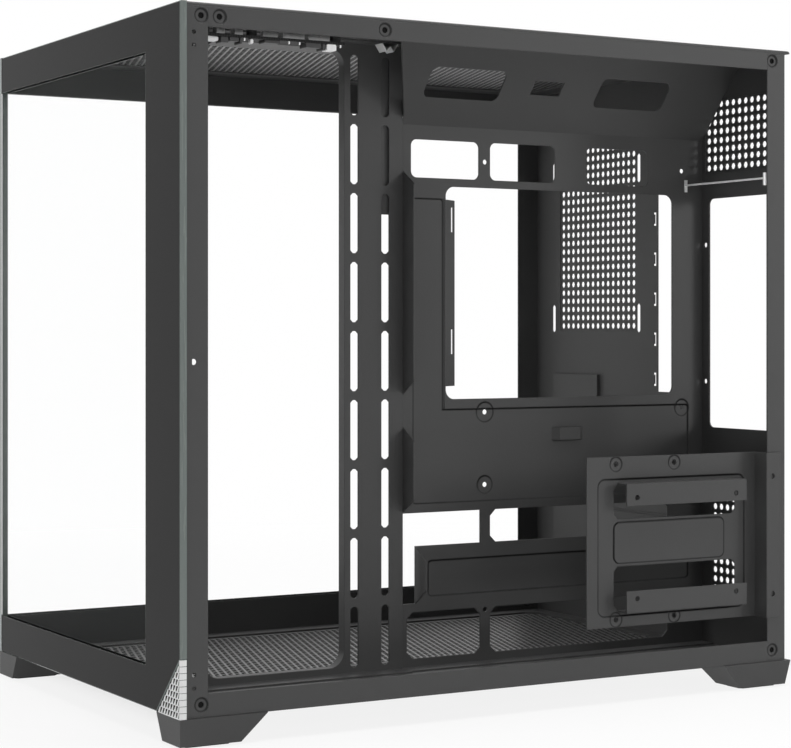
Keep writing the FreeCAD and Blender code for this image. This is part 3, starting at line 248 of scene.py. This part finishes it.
# Painted shade: near black for the mesh hole walls and for the inserts behind the panel's screw holes.
painted_hole_shade = finish("painted_hole_shade", powder_coat(0.004, 0.008, 0.60), {"Specular IOR Level": 0.1})
coats = (black_steel, rail_steel, wall_steel, drive_steel, black_mesh, painted_hole_shade)
print("powder coats", [coat.name for coat in coats])

# %% [markdown]
# ## Moulded plastic and rubber
# Feet, socket strip, filter frame and buttons are moulded with a spark-eroded grain, which is finer and duller than
# the coat on the steel. The pads under the feet are soft rubber, duller still. The white corner piece is smooth and
# glossy.


# %% Grained black plastic, rubber and white plastic
def moulded(dark, light, rough, grain_scale, depth):
    def paint(place):
        grain = place.noise(grain_scale, 3.0)
        flow = place.noise(18.0)
        return {
            "Base Color": (grain * 0.5 + flow * 0.5).mix(grey(dark), grey(light)),
            "Roughness": rough + grain * 0.2,
            "Normal": (grain * (depth * 0.15 * MM)).bump(),
        }
    return paint


black_plastic = finish("black_plastic", moulded(0.030, 0.058, 0.42, 2200.0, 0.3), {"Specular IOR Level": 0.4})
pad_rubber = finish("pad_rubber", moulded(0.016, 0.034, 0.65, 1500.0, 0.4), {"Specular IOR Level": 0.3})
white_plastic = finish("white_plastic", moulded(0.84, 0.91, 0.24, 900.0, 0.05), {"Specular IOR Level": 0.5})
print("moulded", black_plastic.name, pad_rubber.name, white_plastic.name)

# %% [markdown]
# ## Bare steel, screws and circuit board
# The sockets, the switches and the legs under the board are bright strip with the long faint streaks of the rolling
# mill: a noise squeezed across and stretched along. The thin brace, the clip under the roof and the shells under the
# board are pale zinc, coloured near white as painted light so that they read bright in the shade where they sit. Screws
# are blackened. The little board has matt black lacquer over its runs.


# %% Bare metal and the board
def rolled_steel(place):
    streak = place.stretched((40.0, 900.0, 900.0)).noise(1.0, 3.0)
    bloom = place.noise(60.0)
    return {
        "Base Color": (streak * 0.5 + bloom * 0.5).mix(grey(0.50, -0.01), grey(0.72, 0.01)),
        "Roughness": 0.2 + streak * 0.25,
        "Normal": (streak * (0.006 * MM)).bump(),
    }


def blackened(place):
    patch = place.noise(500.0)
    return {"Base Color": patch.mix(grey(0.045), grey(0.10)), "Roughness": 0.28 + patch * 0.2}


def lacquered_board(place):
    runs = place.node("TexBrick", {"offset": 0.35}, {
        "Vector": place, "Scale": 160.0, "Mortar Size": 0.06, "Color1": grey(0.008), "Color2": grey(0.012),
        "Mortar": grey(0.022)}, "Color")
    return {"Base Color": runs, "Roughness": 0.55 + place.noise(300.0) * 0.15}


# Pale zinc with painted light: a near-white tone, lighter than bare zinc, so these parts read bright in shade.
def zinc_lifted_white(place):
    bloom = place.noise(90.0, 3.0)
    return {"Base Color": bloom.mix(grey(0.80), grey(0.92)), "Roughness": 0.35 + bloom * 0.2}


bright_steel = finish("bright_steel", rolled_steel, {"Metallic": 1.0})
zinc_painted_light = finish("zinc_painted_light", zinc_lifted_white, {"Metallic": 0.15})
screw_steel = finish("screw_steel", blackened, {"Metallic": 0.8})
circuit_board = finish("circuit_board", lacquered_board, {"Specular IOR Level": 0.2})
print("metals and board", bright_steel.name, zinc_painted_light.name, screw_steel.name, circuit_board.name)

# %% [markdown]
# ## Glass with a printed border
# Each pane is 4 mm of clear toughened glass. A black ceramic print on the inside hides the frame behind it: along the
# top, the bottom and the right-hand side of the front pane, and along the top and bottom of the left pane. The print is
# a mask on the pane's own coordinates, and it drives the alpha: solid where there is print, and almost nothing
# elsewhere. That small rest grows with the Fresnel factor and shows the pale glass colour, as a painted reflection at
# grazing angles. The ground rim is a finish of its own, because cut glass shows pale grey-green there.

# %% Where the print lies, and how far it reaches in from the rim
pane_low, pane_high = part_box("front_glass")
TOP_PRINT, FOOT_PRINT, SIDE_PRINT, PRINT_EDGE = 23 * MM, 23.6 * MM, 47 * MM, 0.4 * MM
CLEAR_GLASS, PAINTED_REFLECTION_SHARE = (0.80, 0.86, 0.83, 1.0), 0.02
RIM_DARK, RIM_LIGHT = (0.150, 0.175, 0.165, 1.0), (0.165, 0.190, 0.180, 1.0)
GLASS_GLOSS = {"IOR": 1.5, "Specular IOR Level": 0.03}


def printed_glass(bands):
    """bands lists (axis, sign, limit): print lies where sign times the coordinate is over sign times the limit."""
    def paint(place):
        mask = None
        for axis, sign, limit in bands:
            band = (place.axis(axis) * sign).rise(sign * limit - PRINT_EDGE / 2, sign * limit + PRINT_EDGE / 2)
            mask = band if mask is None else mask.larger(band)
        speck = place.noise(1800.0)
        print_tone = speck.mix(grey(0.025), grey(0.031))
        # Painted reflection: a small Fresnel share of the pale glass colour shows at grazing angles.
        fresnel_painted_reflection = place.node("Fresnel", None, {"IOR": 1.5})
        return {
            "Base Color": mask.mix(CLEAR_GLASS, print_tone),
            "Alpha": mask.larger(fresnel_painted_reflection * PAINTED_REFLECTION_SHARE),
            "Roughness": 0.05 + mask * (0.12 + speck * 0.06),
        }
    return paint


front_print = finish("front_glass", printed_glass([
    ("Z", 1.0, pane_high.z - TOP_PRINT), ("Z", -1.0, pane_low.z + FOOT_PRINT), ("X", 1.0, pane_high.x - SIDE_PRINT),
]), GLASS_GLOSS)
left_print = finish("left_glass", printed_glass([
    ("Z", 1.0, pane_high.z - TOP_PRINT), ("Z", -1.0, pane_low.z + FOOT_PRINT),
]), GLASS_GLOSS)


def ground_rim(place):
    wheel = place.stretched((1.0, 1.0, 0.05)).noise(700.0)
    return {"Base Color": wheel.mix(RIM_DARK, RIM_LIGHT), "Roughness": 0.15 + wheel * 0.2}


glass_rim = finish("glass_rim", ground_rim, {"IOR": 1.5})
print("glass", front_print.name, left_print.name, glass_rim.name)

# %% [markdown]
# ## Giving each solid its finish
# The record names one material slot for each solid, so a table from slot to finish dresses all of them at once. The
# stamped sheets have finishes of their own.

# %% Dress the solids
FINISHES = {
    "black_steel": black_steel, "black_mesh": black_mesh, "tempered_glass": front_print, "bright_steel": bright_steel,
    "screw_steel": screw_steel, "black_plastic": black_plastic, "white_plastic": white_plastic,
    "pad_rubber": pad_rubber, "circuit_board": circuit_board,
}
OWN_FINISHES = {
    "top_frame": rail_steel, "base_frame": rail_steel, "front_right_post": rail_steel, "motherboard_tray": wall_steel,
    "drive_bracket": drive_steel, "supply_brace": zinc_painted_light,
}
for row in frame["record"]["subparts"]:
    solid = frame["nodes"][row["node"]]
    solid.data.materials.clear()
    solid.data.materials.append(OWN_FINISHES.get(row["node"], FINISHES[row["material_slot"]]))

# %% [markdown]
# ## Pieces from arrays
# Every new piece is a list of points and a few blocks of faces, worked out with numpy. A helper puts the arrays
# straight into a mesh, gives each block its finish, and ties the piece to the body that it moves with.


# %% From arrays to a piece on a body
def add_piece(name, points, blocks, finishes, replaced, body="chassis"):
    """blocks is a list of (faces, finish number), each with faces of one size."""
    corners = np.concatenate([faces.ravel() for faces, _ in blocks]).astype(np.int32)
    sizes = np.concatenate([np.full(len(faces), faces.shape[1]) for faces, _ in blocks])
    numbers = np.concatenate([np.full(len(faces), number) for faces, number in blocks])
    mesh = bpy.data.meshes.new(name)
    mesh.vertices.add(len(points))
    mesh.vertices.foreach_set("co", np.asarray(points, np.float32).ravel())
    mesh.loops.add(len(corners))
    mesh.loops.foreach_set("vertex_index", corners)
    mesh.polygons.add(len(sizes))
    mesh.polygons.foreach_set("loop_start", (np.cumsum(sizes) - sizes).astype(np.int32))
    mesh.polygons.foreach_set("material_index", numbers.astype(np.int32))
    mesh.update(calc_edges=True)
    mesh.validate()
    mesh.shade_flat()
    for item in finishes:
        mesh.materials.append(item)
    piece = bpy.data.objects.new(name, mesh)
    bpy.context.scene.collection.objects.link(piece)
    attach(piece, body)
    if replaced:
        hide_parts(*replaced)
    print(name, len(points), "points", len(sizes), "faces")
    return piece


RIGHT, BACK, UP = np.eye(3)

# %% [markdown]
# ## The two panes
# A pane is an outline carried along a short straight path through the glass: once on the outer face, drawn in a
# little for the ground edge, once where that edge ends, and once on the inner face. The faces take the printed glass
# and the band between them takes the rim. The front pane's lower right corner is cut off for the white corner piece.

# %% Panes with a ground edge
PANE_BEVEL = 0.6 * MM


def drawn_in(outline, distance):
    """Each corner moves along the sum of its two edges' outward normals, over 1 plus their dot product."""
    edge = np.roll(outline, -1, 0) - outline
    normal = np.stack([edge[:, 1], -edge[:, 0]], 1) / np.linalg.norm(edge, axis=1)[:, None]
    before = np.roll(normal, 1, 0)
    return outline - distance * (normal + before) / (1 + (normal * before).sum(1))[:, None]


def pane(name, outline, outer, inner, across, up, glass, node):
    """The outline at three levels along its outward normal: inset, full, full."""
    outline = np.array(outline)
    out, count = np.cross(across, up), len(outline)
    rings = [(drawn_in(outline, PANE_BEVEL), outer), (outline, outer - PANE_BEVEL), (outline, inner)]
    points = np.concatenate([flat[:, :1] * across + flat[:, 1:] * up + level * out for flat, level in rings])
    step = np.arange(count)
    after = (step + 1) % count
    band = np.concatenate([np.stack([step + low, step + low + count, after + low + count, after + low], 1)
                           for low in (0, count)])
    blocks = [(step[None], 0), ((step + 2 * count)[::-1][None], 0), (band, 1)]
    return add_piece(name, points, blocks, [glass, glass_rim], [node])


trim_low, trim_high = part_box("corner_trim")
pane("front_pane", [
    (pane_low.x, pane_low.z), (trim_low.x, pane_low.z), (pane_high.x, trim_high.z), (pane_high.x, pane_high.z),
    (pane_low.x, pane_high.z)], -pane_low.y, -pane_high.y, RIGHT, UP, front_print, "front_glass")
side_low, side_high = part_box("left_glass")
pane("left_pane", [
    (-side_high.y, side_low.z), (-side_low.y, side_low.z), (-side_low.y, side_high.z), (-side_high.y, side_high.z)],
    -side_low.x, -side_high.x, -BACK, UP, left_print, "left_glass")

# %% [markdown]
# ## Perforated sheets
# Roof mesh, floor mesh and the rear vents are sheets with thousands of punched holes. One hole with its share of the
# sheet is a small pattern: an eight-sided ring between the hole and its cell. Laid out on a lattice of half steps,
# neighbouring cells share their outline points, so the sheet is one closed skin. In the meshes every other row is
# moved by half a hole, and the lines between the rows run in a zigzag, which makes long diamonds. That is kinder to
# the eye than a see-through texture, because the holes keep their walls at any angle.


# %% A sheet full of holes
def perforated(left, right, low, high, outer, inner, across, up, columns, rows, share, shifted=0, peak=0.0):
    """Cell outlines lie on a lattice of half steps; hole points lie round each cell's middle at share of a half step.
    With a peak, the lines between rows run in a zigzag of that share of a row, and holes are small copies of the cells.
    Faces join outline to hole on both sides, hole to hole through the sheet, and outline to outline along the rim.
    With shifted rows, each row has half a cell left over at one end, which two plain quads close on each side."""
    out = np.cross(across, up)
    wide, tall = 2 * columns + 1 + shifted, 2 * rows + 1
    u, v = np.meshgrid(np.linspace(left, right, wide), np.linspace(low, high, tall), indexing="ij")
    v[:, 2:-1:2] += np.where(np.add.outer(np.arange(wide), np.arange(1, rows)) % 2, -peak, peak) * (high - low) / rows
    turn = np.arange(8) * math.pi / 4
    # Eight steps to the neighbours on the lattice: 1.2 brings 0.7 close enough to 1 for rounding.
    ring = np.round(np.stack([np.cos(turn), np.sin(turn)], 1) * 1.2).astype(int)
    i, j = [x.ravel() for x in np.meshgrid(np.arange(columns), np.arange(rows), indexing="ij")]
    middle_u, middle_v = 2 * i + 1 + shifted * (j % 2), 2 * j + 1
    outline = (middle_u[:, None] + ring[:, 0]) * tall + middle_v[:, None] + ring[:, 1]
    radius = share * np.array([2 * (right - left) / (wide - 1), (high - low) / rows]) / 2
    centre = np.stack([u[middle_u, middle_v], v[middle_u, middle_v]], 1)
    offset = radius * np.stack([np.cos(turn), np.sin(turn)], 1)
    if peak:
        offset = share * (np.stack([u.ravel()[outline], v.ravel()[outline]], 2) - centre[:, None])
    hole = (centre[:, None] + offset).reshape(-1, 2)
    flat = np.concatenate([np.stack([u.ravel(), v.ravel()], 1), hole])
    points = np.concatenate([flat[:, :1] * across + flat[:, 1:] * up + level * out for level in (outer, inner)])
    under, first_hole = len(flat), wide * tall
    bore = first_hole + np.arange(len(hole)).reshape(-1, 8)

    def after(ids):
        return np.roll(ids, -1, 1)

    def quads(*columns_of_ids):
        return np.stack([ids.ravel() for ids in columns_of_ids], 1)

    row, half = [x.ravel() for x in np.meshgrid(np.arange(rows * shifted), np.arange(2), indexing="ij")]
    rest = np.where(row % 2, 0, wide - 2) * tall + 2 * row + half
    edge = np.concatenate([np.arange(wide) * tall, (wide - 1) * tall + np.arange(1, tall),
                           np.arange(wide - 2, -1, -1) * tall + tall - 1, np.arange(tall - 2, 0, -1)])[None]
    sheet = np.concatenate([
        quads(outline, after(outline), after(bore), bore),
        quads(after(outline) + under, outline + under, bore + under, after(bore) + under),
        quads(rest, rest + tall, rest + tall + 1, rest + 1),
        quads(rest + 1 + under, rest + tall + 1 + under, rest + tall + under, rest + under),
        quads(edge + under, after(edge) + under, after(edge), edge),
    ])
    walls = quads(bore, after(bore), after(bore) + under, bore + under)
    used, faces = np.unique(np.concatenate([sheet, walls]), return_inverse=True)
    faces = faces.reshape(-1, 4)
    return points[used], faces[:len(sheet)], faces[len(sheet):]


MESH_SHARE, MESH_PEAK = 0.66, 0.4


def mesh_sheet(name, node, columns, rows):
    """A horizontal perforated sheet in the place of a node, with hole walls near black as painted shade."""
    low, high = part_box(node)
    points, sheet, walls = perforated(low.x, high.x, low.y, high.y, high.z, low.z, RIGHT, BACK, columns, rows,
                                      MESH_SHARE, 1, MESH_PEAK)
    return add_piece(name, points, [(sheet, 0), (walls, 1)], [black_mesh, painted_hole_shade], [node])


mesh_sheet("roof_mesh", "top_mesh", 9, 172)
mesh_sheet("floor_mesh", "bottom_mesh", 10, 168)

# %% [markdown]
# ## The rear wall with its real vents
# The solid rear wall has a few large gaps in three slightly raised fields. The real fields are punched with rows of
# small round holes. A copy of the solid is merged, the triangles inside each field are dropped, and a perforated
# sheet of the same thickness fills the field again, flush with the wall.

# %% Merge a copy of a solid
MERGE_STEP = 0.01 * MM


def merged_copy(node):
    """Points and triangles of a solid, as arrays, with one point where its faces meet."""
    source = frame["nodes"][node].data
    ids = np.empty(len(source.loops), np.int32)
    source.loops.foreach_get("vertex_index", ids)
    points = np.empty(len(source.vertices) * 3, np.float32)
    source.vertices.foreach_get("co", points)
    return merge(points.reshape(-1, 3).astype(float), ids.reshape(-1, 3))


def merge(points, triangles):
    """Points on the same hundredth of a millimetre become one, and triangles that lose a side that way go."""
    steps = np.round(points / MERGE_STEP).astype(int)
    _, first, number = np.unique(steps, axis=0, return_index=True, return_inverse=True)
    triangles = number.ravel()[triangles]
    return points[first], triangles[(triangles != np.roll(triangles, 1, 1)).all(1)]


# %% The rear wall with refilled fields
wall_points, triangles = merged_copy("rear_panel")
FIELD_IN, FIELD_OUT = 207.5 * MM, 208.5 * MM
FIELDS = [  # left, right, low, high in mm, then columns and rows of holes
    (-108.0, -15.0, 226.0, 359.0, 15, 22),
    (63.4, 133.0, 331.0, 379.0, 11, 8),
    (70.0, 133.0, 52.0, 124.0, 10, 12),
]
HOLE_SHARE, FIELD_MARGIN = 0.74, 0.01
blocks, extra = [], []
total = len(wall_points)
for left, right, low, high, columns, rows in FIELDS:
    middle = wall_points[triangles].mean(1) / MM
    inside = ((middle[:, 0] > left + FIELD_MARGIN) & (middle[:, 0] < right - FIELD_MARGIN)
              & (middle[:, 2] > low + FIELD_MARGIN) & (middle[:, 2] < high - FIELD_MARGIN))
    triangles = triangles[~inside]
    points, *faces = perforated(-right * MM, -left * MM, low * MM, high * MM, FIELD_OUT, FIELD_IN, -RIGHT, UP,
                                columns, rows, HOLE_SHARE)
    extra.append(points)
    blocks.append((np.concatenate(faces) + total, 0))
    total += len(points)
    print("field", left, right, low, high, "dropped", int(inside.sum()), "triangles")
add_piece("rear_wall", np.concatenate([wall_points, *extra]), [(triangles, 0), *blocks], [rail_steel],
          ["rear_panel"])

# %% [markdown]
# ## The white corner piece
# The lower right corner of the front pane is a white triangle with rows of slanted teeth over a dark ground. Each row
# has one tooth less than the row below. A tooth, a bar and a corner block are all upright prisms, so one function
# carries many outlines straight back at once.


# %% Many prisms at once
def prisms(outlines, near, far, across, up):
    """Each outline, counter-clockwise seen from outside, at its near and its far level along the outward normal."""
    outlines = np.asarray(outlines, float) * MM
    count, corners = outlines.shape[:2]
    out = np.cross(across, up)
    flat = outlines[..., :1] * across + outlines[..., 1:] * up
    depth = np.stack([np.broadcast_to(np.asarray(level, float), count) for level in (near, far)], 1)
    points = flat[:, None] + (depth * MM)[:, :, None, None] * out
    first = (np.arange(count) * 2 * corners)[:, None]
    step = np.arange(corners)
    after = (step + 1) % corners
    ends = np.concatenate([first + step, first + corners + step[::-1]])
    sides = np.stack([first + corners + step, first + corners + after, first + after, first + step], 2).reshape(-1, 4)
    return points.reshape(-1, 3), ends, sides


def outlines_of(*corners):
    """Outlines from their corners, each a pair of arrays or numbers: across, then up."""
    return np.stack([np.stack(np.broadcast_arrays(*corner), 1) for corner in corners], 1)


def joined(name, groups, finishes, replaced=(), body="chassis"):
    """One piece from several lists of prisms: each group is (points, ends, sides, finish number)."""
    total, points, blocks = 0, [], []
    for one, ends, sides, number in groups:
        points.append(one)
        blocks += [(ends + total, number), (sides + total, number)]
        total += len(one)
    return add_piece(name, np.concatenate(points), blocks, finishes, replaced, body)


# %% Rows of white teeth
TOOTH_ROWS, ROW_RISE, BAR, CORNER_BLOCK, BLOCK_GAP, BLOCK_SLANT = 8, 3.6, 0.5, 1.6, 0.15, 0.5
BAR_OVERHANG, TOOTH_SINK, TOOTH_FOOT, BLOCK_FOOT = 0.2, 0.1, 1.2, 0.1
GROUND_SINK, GROUND_INSET, GROUND_DROP = 0.35, 0.4, 0.8
TOOTH = np.array([(0.0, 0.0), (0.56, 0.0), (0.86, 1.0), (0.62, 1.0)])
corner, foot = trim_high.x / MM, trim_low.z / MM
slope = (trim_high.x - trim_low.x) / (trim_high.z - trim_low.z)
pitch = ROW_RISE * slope
teeth_end = corner - CORNER_BLOCK
row = np.repeat(np.arange(TOOTH_ROWS), TOOTH_ROWS - np.arange(TOOTH_ROWS))
in_row = np.arange(len(row)) - np.searchsorted(row, row)
corners_of_cells = np.stack([teeth_end - pitch * (in_row + 1), foot + BAR + ROW_RISE * row], 1)
teeth = corners_of_cells[:, None] + TOOTH * (pitch, ROW_RISE - BAR)
level = foot + ROW_RISE * np.arange(TOOTH_ROWS + 1)
bar_left = teeth_end - pitch * (TOOTH_ROWS - np.arange(TOOTH_ROWS + 1)) - BAR_OVERHANG
bars = outlines_of((bar_left, level), (teeth_end, level), (teeth_end, level + BAR),
                   (bar_left + 2 * BAR_OVERHANG, level + BAR))
block_low, block_high = level + BLOCK_GAP, level + ROW_RISE - BLOCK_GAP
corner_blocks = outlines_of((teeth_end, block_low), (corner, block_low), (corner, block_high),
                            (teeth_end + BLOCK_SLANT, block_high))
ground_end = corner - GROUND_INSET
ground_plate = [[(trim_low.x / MM, foot), (ground_end, foot), (ground_end, trim_high.z / MM - GROUND_DROP)]]
front, back = -trim_low.y / MM, -trim_high.y / MM
trim_ground = finish("trim_ground", moulded(0.004, 0.008, 0.6, 1500.0, 0.2), {"Specular IOR Level": 0.1})
joined("corner_teeth", [
    (*prisms(teeth, front - TOOTH_SINK, back + TOOTH_FOOT, RIGHT, UP), 0),
    (*prisms(bars, front, back + TOOTH_FOOT, RIGHT, UP), 0),
    (*prisms(corner_blocks, front, back + BLOCK_FOOT, RIGHT, UP), 0),
    (*prisms(ground_plate, front - GROUND_SINK, back, RIGHT, UP), 1),
], [white_plastic, trim_ground], ["corner_trim"])

# %% [markdown]
# ## The wall inside
# The solid wall has its pressed field in two parts, with a plain strip between them where the board's middle column
# of holes lies. On the real wall the field runs through, and only dimples stand round the holes. So a merged copy of
# the wall is cut once more: a flat block takes half a millimetre off the strip, and the two parts become one field.

# %% Cut the field through
inner_points, inner_faces = merged_copy("motherboard_tray")
inner_wall = add_piece("inner_wall", inner_points, [(inner_faces, 0)], [wall_steel],
                       ["motherboard_tray"])
FIELD_FACE, FACE_MARGIN, CUT_DEPTH = 59.5, 0.02, 1.0
STRIP_FRONT, STRIP_REAR, STRIP_LEVELS = 17.9, 52.2, (118.7, 176.5)
field = inner_points[np.abs(inner_points[:, 0] / MM - FIELD_FACE) < FACE_MARGIN] / MM
low, high = [field[np.abs(field[:, 2] - level).argmin(), 2] for level in STRIP_LEVELS]
strip = [[(STRIP_FRONT, low), (STRIP_REAR, low), (STRIP_REAR, high), (STRIP_FRONT, high)]]
block_points, block_ends, block_sides = prisms(strip, field[0, 0] + CUT_DEPTH, field[0, 0], BACK, UP)
block_mesh = bpy.data.meshes.new("field_block")
block_mesh.from_pydata(block_points.tolist(), [], [*block_ends.tolist(), *block_sides.tolist()])
block = bpy.data.objects.new("field_block", block_mesh)
bpy.context.scene.collection.objects.link(block)
field_cut = inner_wall.modifiers.new("field_cut", "BOOLEAN")
field_cut.operation, field_cut.solver, field_cut.object = "DIFFERENCE", "EXACT", block
cut_mesh = bpy.data.meshes.new_from_object(inner_wall.evaluated_get(bpy.context.evaluated_depsgraph_get()))
inner_wall.modifiers.clear()
inner_wall.data = cut_mesh
bpy.data.objects.remove(block)
print("inner wall", len(inner_faces), "faces before the cut,", len(cut_mesh.polygons), "after it")

# %% [markdown]
# ## Under the socket strip
# From the open side one looks up at the solder side of the strip's board: black plug housings, and bright legs,
# shells and a shield between them. Small chamfered blocks are enough, because only their outlines and a few glints
# show.


# %% Plugs, legs and shells under the board
def chamfered(boxes, cut):
    """Eight-sided outlines (front, rear, low, high) with their corners cut off."""
    front, rear, low, high = np.array(boxes, float).T
    return outlines_of((front + cut, low), (rear - cut, low), (rear, low + cut), (rear, high - cut),
                       (rear - cut, high), (front + cut, high), (front, high - cut), (front, low + cut))


under_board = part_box("io_board")[0].z / MM
PLUGS = [  # front, rear, how far it hangs, left and right side, in mm
    (-183.0, -178.6, 3.2, 127.0, 134.0), (-177.8, -172.4, 2.2, 126.0, 134.4), (-171.6, -170.4, 3.4, 127.0, 134.6),
    (-156.0, -146.5, 1.6, 126.0, 133.6), (-130.6, -121.0, 2.6, 126.5, 134.4), (-120.2, -118.6, 3.6, 127.0, 134.6),
]
SHELLS = [  # the same
    (-193.0, -184.0, 2.4, 127.5, 132.6), (-164.6, -162.8, 2.6, 130.0, 133.0), (-117.6, -111.6, 3.6, 128.6, 134.8),
]
LEG_PLACES = (-169.0, -141.4, -134.8, -108.8)
LEG_HALF, LEG_DROP, LEG_SIDES = 0.4, 1.6, (134.8, 134.0)
PLUG_CUT, SHELL_CUT, LEG_CUT = 0.35, 0.5, 0.2


def hung(rows):
    return [(front, rear, under_board - drop, under_board) for front, rear, drop, _, _ in rows]


plug_sides, shell_sides = np.array(PLUGS)[:, 3:].T, np.array(SHELLS)[:, 3:].T
legs = [(place - LEG_HALF, place + LEG_HALF, under_board - LEG_DROP, under_board) for place in LEG_PLACES]
joined("strip_parts", [
    (*prisms(chamfered(hung(PLUGS), PLUG_CUT), plug_sides[1], plug_sides[0], BACK, UP), 0),
    (*prisms(chamfered(hung(SHELLS), SHELL_CUT), shell_sides[1], shell_sides[0], BACK, UP), 1),
    (*prisms(chamfered(legs, LEG_CUT), *LEG_SIDES, BACK, UP), 2),
], [black_plastic, zinc_painted_light, bright_steel])

# %% Inserts behind the panel's screw holes
# The inserts are coloured near black as painted shade inside the screw holes.
INSERT_HALF, INSERT_CUT, INSERT_SIDES = 2.4, 1.3, (141.9, 139.5)
inserts = [(place - INSERT_HALF, place + INSERT_HALF, level - INSERT_HALF, level + INSERT_HALF)
           for place, level in DIMPLES]
joined("panel_inserts", [(*prisms(chamfered(inserts, INSERT_CUT), *INSERT_SIDES, BACK, UP), 0)], [painted_hole_shade])

# %% A sprung clip under the roof, beside the fan bracket
CLIP_HALF, CLIP_SIDES = 0.35, (73.0, 64.0)
zigzag = np.array([(-47.0, 400.6), (-43.6, 395.6), (-41.2, 398.4), (-38.6, 395.4), (-35.4, 400.6)])
lower, upper = zigzag - (0, CLIP_HALF), zigzag + (0, CLIP_HALF)
strips = np.stack([lower[:-1], lower[1:], upper[1:], upper[:-1]], 1)
joined("roof_clip", [(*prisms(strips, *CLIP_SIDES, BACK, UP), 0)], [zinc_painted_light])

# %% [markdown]
# ## Floor, light and camera
# A pale floor and a white surround keep the background plain. To the camera, and in gloss and glass, both are white,
# while the light that reaches the case is at a plain level. The floor keeps part of its own shading, so the soft shadow
# under the feet stays, and under the middle of the case a painted shadow makes it darker. The main lamp stands to the
# open side and towards the rear, so that the inside falls off behind the rear post and the drive bracket. Weaker lamps
# stand at the open side, in front and above.


# %% Floor and surround
def seen_white(start):
    """1 for rays that the camera, gloss or glass sends, else 0."""
    path = {name: start.node("LightPath", None, None, name) for name in (
        "Is Camera Ray", "Is Glossy Ray", "Is Transmission Ray")}
    return path["Is Camera Ray"].larger(path["Is Glossy Ray"]).larger(path["Is Transmission Ray"])


NEAR_GLOW, PAINTED_SHADOW_GLOW, SURROUND = 0.86, 0.4, 0.07
WHITE, FLOOR_TONE, FLOOR_DROP = (1.0, 1.0, 1.0, 1.0), (0.92, 0.92, 0.92, 1.0), 0.0002
DISC_SIDES, DISC_RADII = 48, (0.0, 1.0, 3.0, 9.0)
ground = bpy.data.materials.new("pale_floor")
ground.use_nodes = True
ground.node_tree.nodes.clear()
start = Socket(ground.node_tree)
matt = start.node("BsdfDiffuse", None, {"Color": FLOOR_TONE})
white = start.node("Emission", None, {"Color": WHITE, "Strength": 1.0})
place = start.node("TexCoord", None, None, "Object")
# Painted shadow: within the case's footprint the white glow drops to a lower share.
beside = place.vector("ADD", (0.035, 0.0, 0.0)).vector("ABSOLUTE")
outside_painted_shadow = beside.axis("X").rise(0.03, 0.10).larger(beside.axis("Y").rise(0.12, 0.20))
far_off = place.length().rise(0.3, 1.1)
lift = seen_white(start) * (NEAR_GLOW + far_off * (1 - NEAR_GLOW)) * (PAINTED_SHADOW_GLOW + outside_painted_shadow * (1 - PAINTED_SHADOW_GLOW))
start.node("OutputMaterial", None, {"Surface": start.node("MixShader", None, {0: lift, 1: matt, 2: white})})

angles = np.linspace(0, 2 * math.pi, DISC_SIDES + 1)[:-1]
radius, angle = np.meshgrid(np.array(DISC_RADII), angles, indexing="ij")
disc = np.stack([radius * np.cos(angle), radius * np.sin(angle), 0 * radius - FLOOR_DROP], 2).reshape(-1, 3)
cell = np.arange((len(DISC_RADII) - 1) * DISC_SIDES).reshape(-1, DISC_SIDES)
turned = np.roll(cell, -1, 1)
rings = np.stack([cell, cell + DISC_SIDES, turned + DISC_SIDES, turned], 2).reshape(-1, 4)
disc_mesh = bpy.data.meshes.new("studio_floor")
disc_mesh.from_pydata(disc.tolist(), [], rings.tolist())
disc_mesh.materials.append(ground)
studio_floor = bpy.data.objects.new("studio_floor", disc_mesh)
bpy.context.scene.collection.objects.link(studio_floor)

world = bpy.data.worlds.new("studio")
bpy.context.scene.world = world
world.use_nodes = True
world.node_tree.nodes.clear()
start = Socket(world.node_tree)
light = start.node("Background", None, {
    "Color": WHITE, "Strength": SURROUND + seen_white(start) * (1 - SURROUND)})
start.node("OutputWorld", None, {"Surface": light})
print("floor and surround")


# %% Lamps
def lamp(name, place, aim, size, power):
    data = bpy.data.lights.new(name, "AREA")
    data.shape, data.size, data.energy = "DISK", size, power
    made = bpy.data.objects.new(name, data)
    made.location = place
    made.rotation_euler = (Vector(aim) - Vector(place)).to_track_quat("-Z", "Y").to_euler()
    bpy.context.scene.collection.objects.link(made)
    return made


CASE_MIDDLE = (0.0, 0.0, 0.2)
lamp("rear_side_lamp", (3.4, 3.7, 1.2), CASE_MIDDLE, 1.6, 54.0)
lamp("open_side_lamp", (3.6, -1.6, 1.2), CASE_MIDDLE, 2.0, 17.0)
lamp("front_lamp", (-0.5, -2.2, 0.9), CASE_MIDDLE, 1.4, 14.0)
lamp("top_lamp", (0.2, 0.1, 2.2), CASE_MIDDLE, 1.8, 48.0)

# %% [markdown]
# The camera stands a good metre off the front right corner, level and a little below the middle of the case's height.
# Its place and lens come from the case's own corners in the photograph: upright edges stay parallel, so the lens is
# shifted down instead of tilted.

# %% Camera
camera = bpy.data.objects.new("camera", bpy.data.cameras.new("camera"))
camera.location = (1.1956, -0.6825, 0.2269)
camera.rotation_euler = (math.pi / 2, 0.0, math.radians(60.12))
camera.data.lens = 96.93
camera.data.shift_y = -0.0571
bpy.context.scene.collection.objects.link(camera)
bpy.context.scene.camera = camera
bpy.context.scene.view_settings.view_transform = "Standard"
print("camera", tuple(camera.location))
